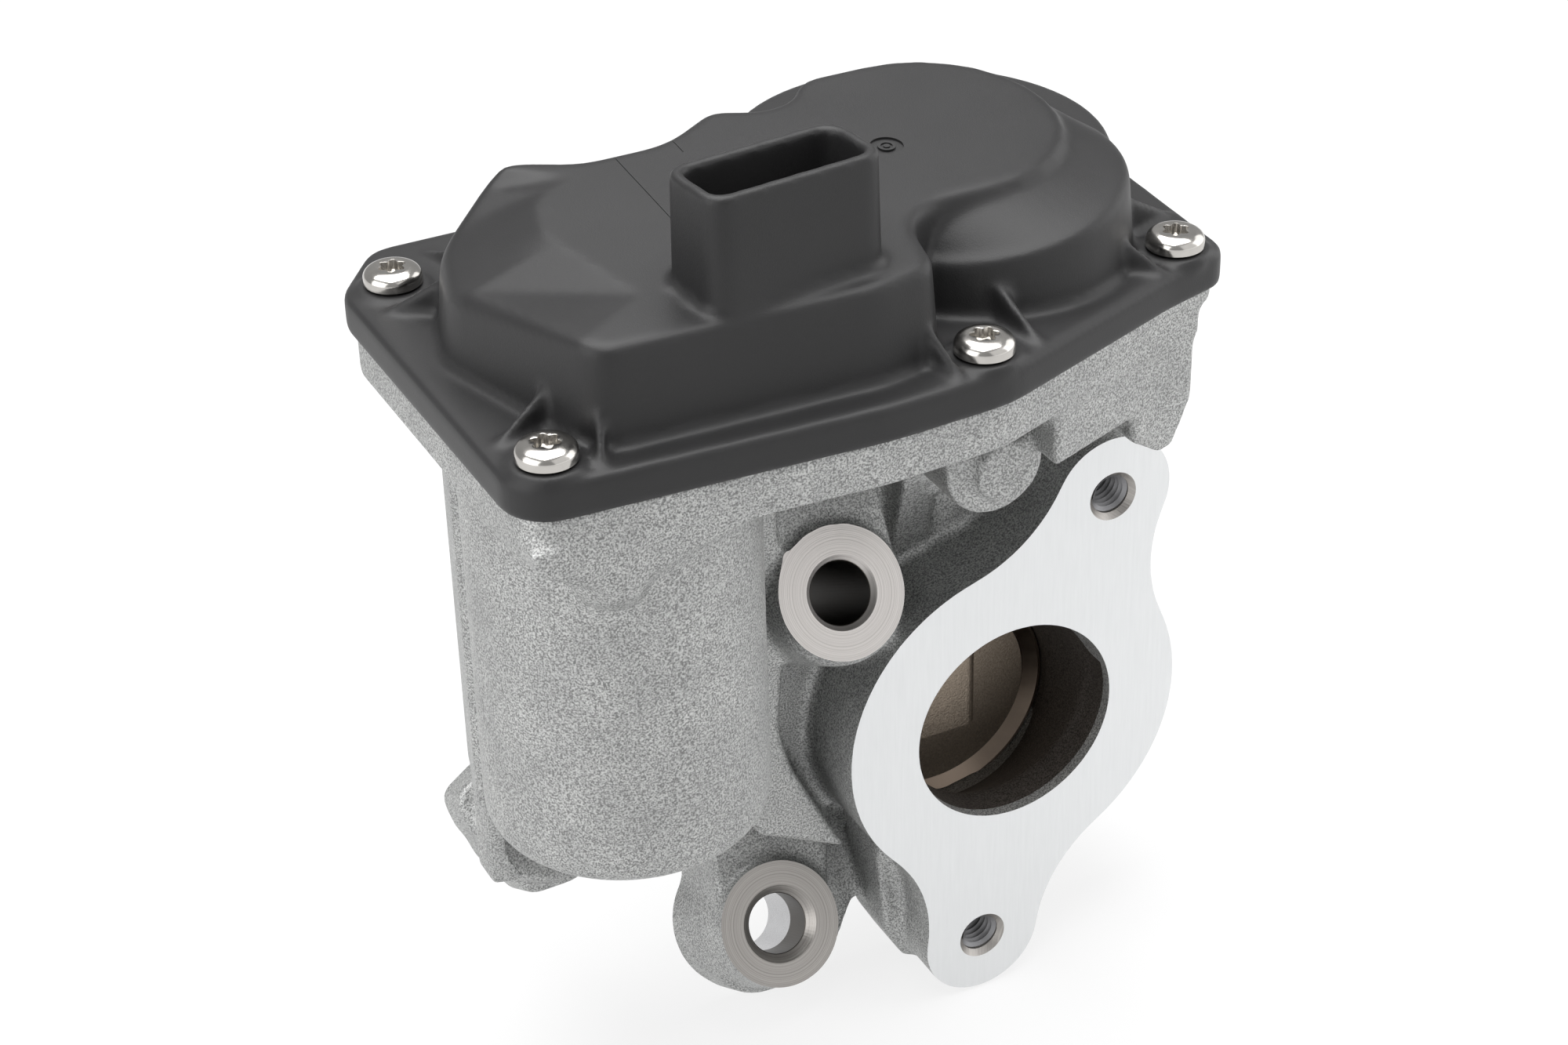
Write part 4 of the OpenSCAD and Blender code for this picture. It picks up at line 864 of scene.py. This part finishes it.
def thread(name, foot, way):
    """A winding ridge that lines a bore; its root lies a little inside the wall."""
    deselect()
    bpy.ops.mesh.primitive_circle_add(vertices=3, radius=SEED)
    ridge = bpy.context.object
    ridge.name = name
    section = [
        (thread_root, 0),
        (tapped_radius - 0.55 * thread_pitch, thread_pitch * 0.47),
        (thread_root, thread_pitch * 0.94),
    ]
    for vertex, (out, along) in zip(ridge.data.vertices, section):
        vertex.co = Vector((out, 0, along)) * MM
    run(ridge, "SCREW", angle=math.tau, screw_offset=thread_pitch * MM, iterations=thread_turns,
        steps=36, render_steps=36)
    open_with(ridge, "VERT", lambda vertex: True)
    bpy.ops.mesh.fill_holes(sides=3)
    bpy.ops.mesh.normals_make_consistent(inside=False)
    close()
    ridge.location = foot * MM
    ridge.rotation_euler = way.to_track_quat("Z", "Y").to_euler()
    place_in_mesh(ridge)
    return ridge


ridges = [thread("thread", place + into_valve * thread_start, into_valve) for place in flange_threads]
hand_over(joined("flange_threads", ridges), body_of["housing"],
          finish_of["core_steel"])

# %% [markdown]
# The cover is one plastic moulding, and its edges are rounded for the same reason as the casting's.
# It is softened in the same way, with a finer skin, because its walls and ribs are thinner.

# %% Moulded cover
cover = copy_of("cover", "moulded_cover")
softened(cover, 0.42, 0.5, cover_triangles)
cover.data.materials.clear()
cover.data.materials.append(cover_plastic)
print("soft cover:", triangles(cover), "triangles")

# %% [markdown]
# The moulding tool has left its marks on the cover's top: a shallow ring from an insert, left bare
# here, and two fine lines where parts of the tool met. They are cut after the softening, so that
# they stay crisp. As bump they would vanish from the mesh, and a grazing light would show no edge.

# %% Tool marks on the cover
top_height = 90
top_slope = 0.09
top_way = Vector((0, -top_slope, 1)).normalized()
uphill = Vector((0, 1, top_slope)).normalized()


def on_top(x, y):
    """A point on the sloping top of the cover's tower."""
    return Vector((x, y, top_height + top_slope * y))


mark = on_top(-15.4, 9.8)
for inner, outer, depth in [(1.2, 2.25, 0.3), (0.45, 0.8, 0.2)]:
    profile = [(inner, -depth), (outer, -depth), (outer, 2), (inner, 2)]
    cut_with(cover, lathe("groove", profile, mark, top_way, 48, ring=True))
line_outline = [(-0.06, -0.1), (0.06, -0.1), (0.06, 1), (-0.06, 1)]
for x, near, far in [(-48.9, 4, 28.0), (-40.2, 19.5, 27.6)]:
    cut_with(cover, prism("tool_line", line_outline, on_top(x, near), uphill, far - near))
hand_over(cover, body_of["cover"], None, ["cover"], 50)

# %% [markdown]
# The cover is held by pan-head screws with a six-lobed socket. One screw is turned from its profile.
# Its socket is cut as a prism whose outline swells and shrinks six times round, with a cone left by
# the drill at its bottom, and a narrow bevel takes the sharpness off every edge.

# %% One cover screw
dome_angles = [math.radians(7.5 * k) for k in range(13)]
head = [(2.15 + 1.8 * math.sin(a), 1.15 + 1.4 * math.cos(a)) for a in dome_angles]
underside = [(3.95, 0.35), (3.75, 0.1), (3.55, 0)]
shank = [(2, 0), (2, -10.6), (1.4, -11.6), (0, -11.6)]
origin = Vector((0, 0, 0))
screw = lathe("cover_screw", [(0, 2.55), *head, *underside, *shank], origin, upwards, 64)

lobe_steps = 72
lobe_radius = 1.64
lobe_swell = 0.27


def lobed(angle):
    """A point of the six-lobed outline."""
    radius = lobe_radius + lobe_swell * math.cos(6 * angle)
    return radius * math.cos(angle), radius * math.sin(angle)


star = [lobed(math.tau * k / lobe_steps) for k in range(lobe_steps)]
cut_with(screw, prism("socket", star, upwards * 1.15, upwards, 3))
cut_with(screw, lathe("drill_point", [(0, 0.55), (1.3, 1.2), (0, 1.2)], origin, upwards, 32))
run(screw, "BEVEL", width=0.07 * MM, segments=2, limit_method="ANGLE", angle_limit=math.radians(50))
print("one screw:", triangles(screw), "triangles")

# %% [markdown]
# The finished screw is copied to all six holes, each copy with its own mesh. No two sockets point the
# same way on a real valve, so each copy is turned a little further than the last.

# %% All six cover screws
screw_places = [
    (-76.6, 33.2), (-77.2, -19.3), (-18.5, -21.3), (18.3, -8.2), (21.5, 41.5), (-22.9, 44.9),
]
head_foot = 75.7
screws = []
for turn, (x, y) in enumerate(screw_places):
    placed = screw.copy()
    placed.data = screw.data.copy()
    bpy.context.scene.collection.objects.link(placed)
    placed.location = Vector((x, y, head_foot)) * MM
    placed.rotation_euler = (0, 0, math.radians(17 * turn + 5))
    place_in_mesh(placed)
    screws.append(placed)
bpy.data.objects.remove(screw)
hand_over(joined("pan_head_screws", screws), body_of["cover_screws"],
          finish_of["stainless"], ["cover_screws"], 30)
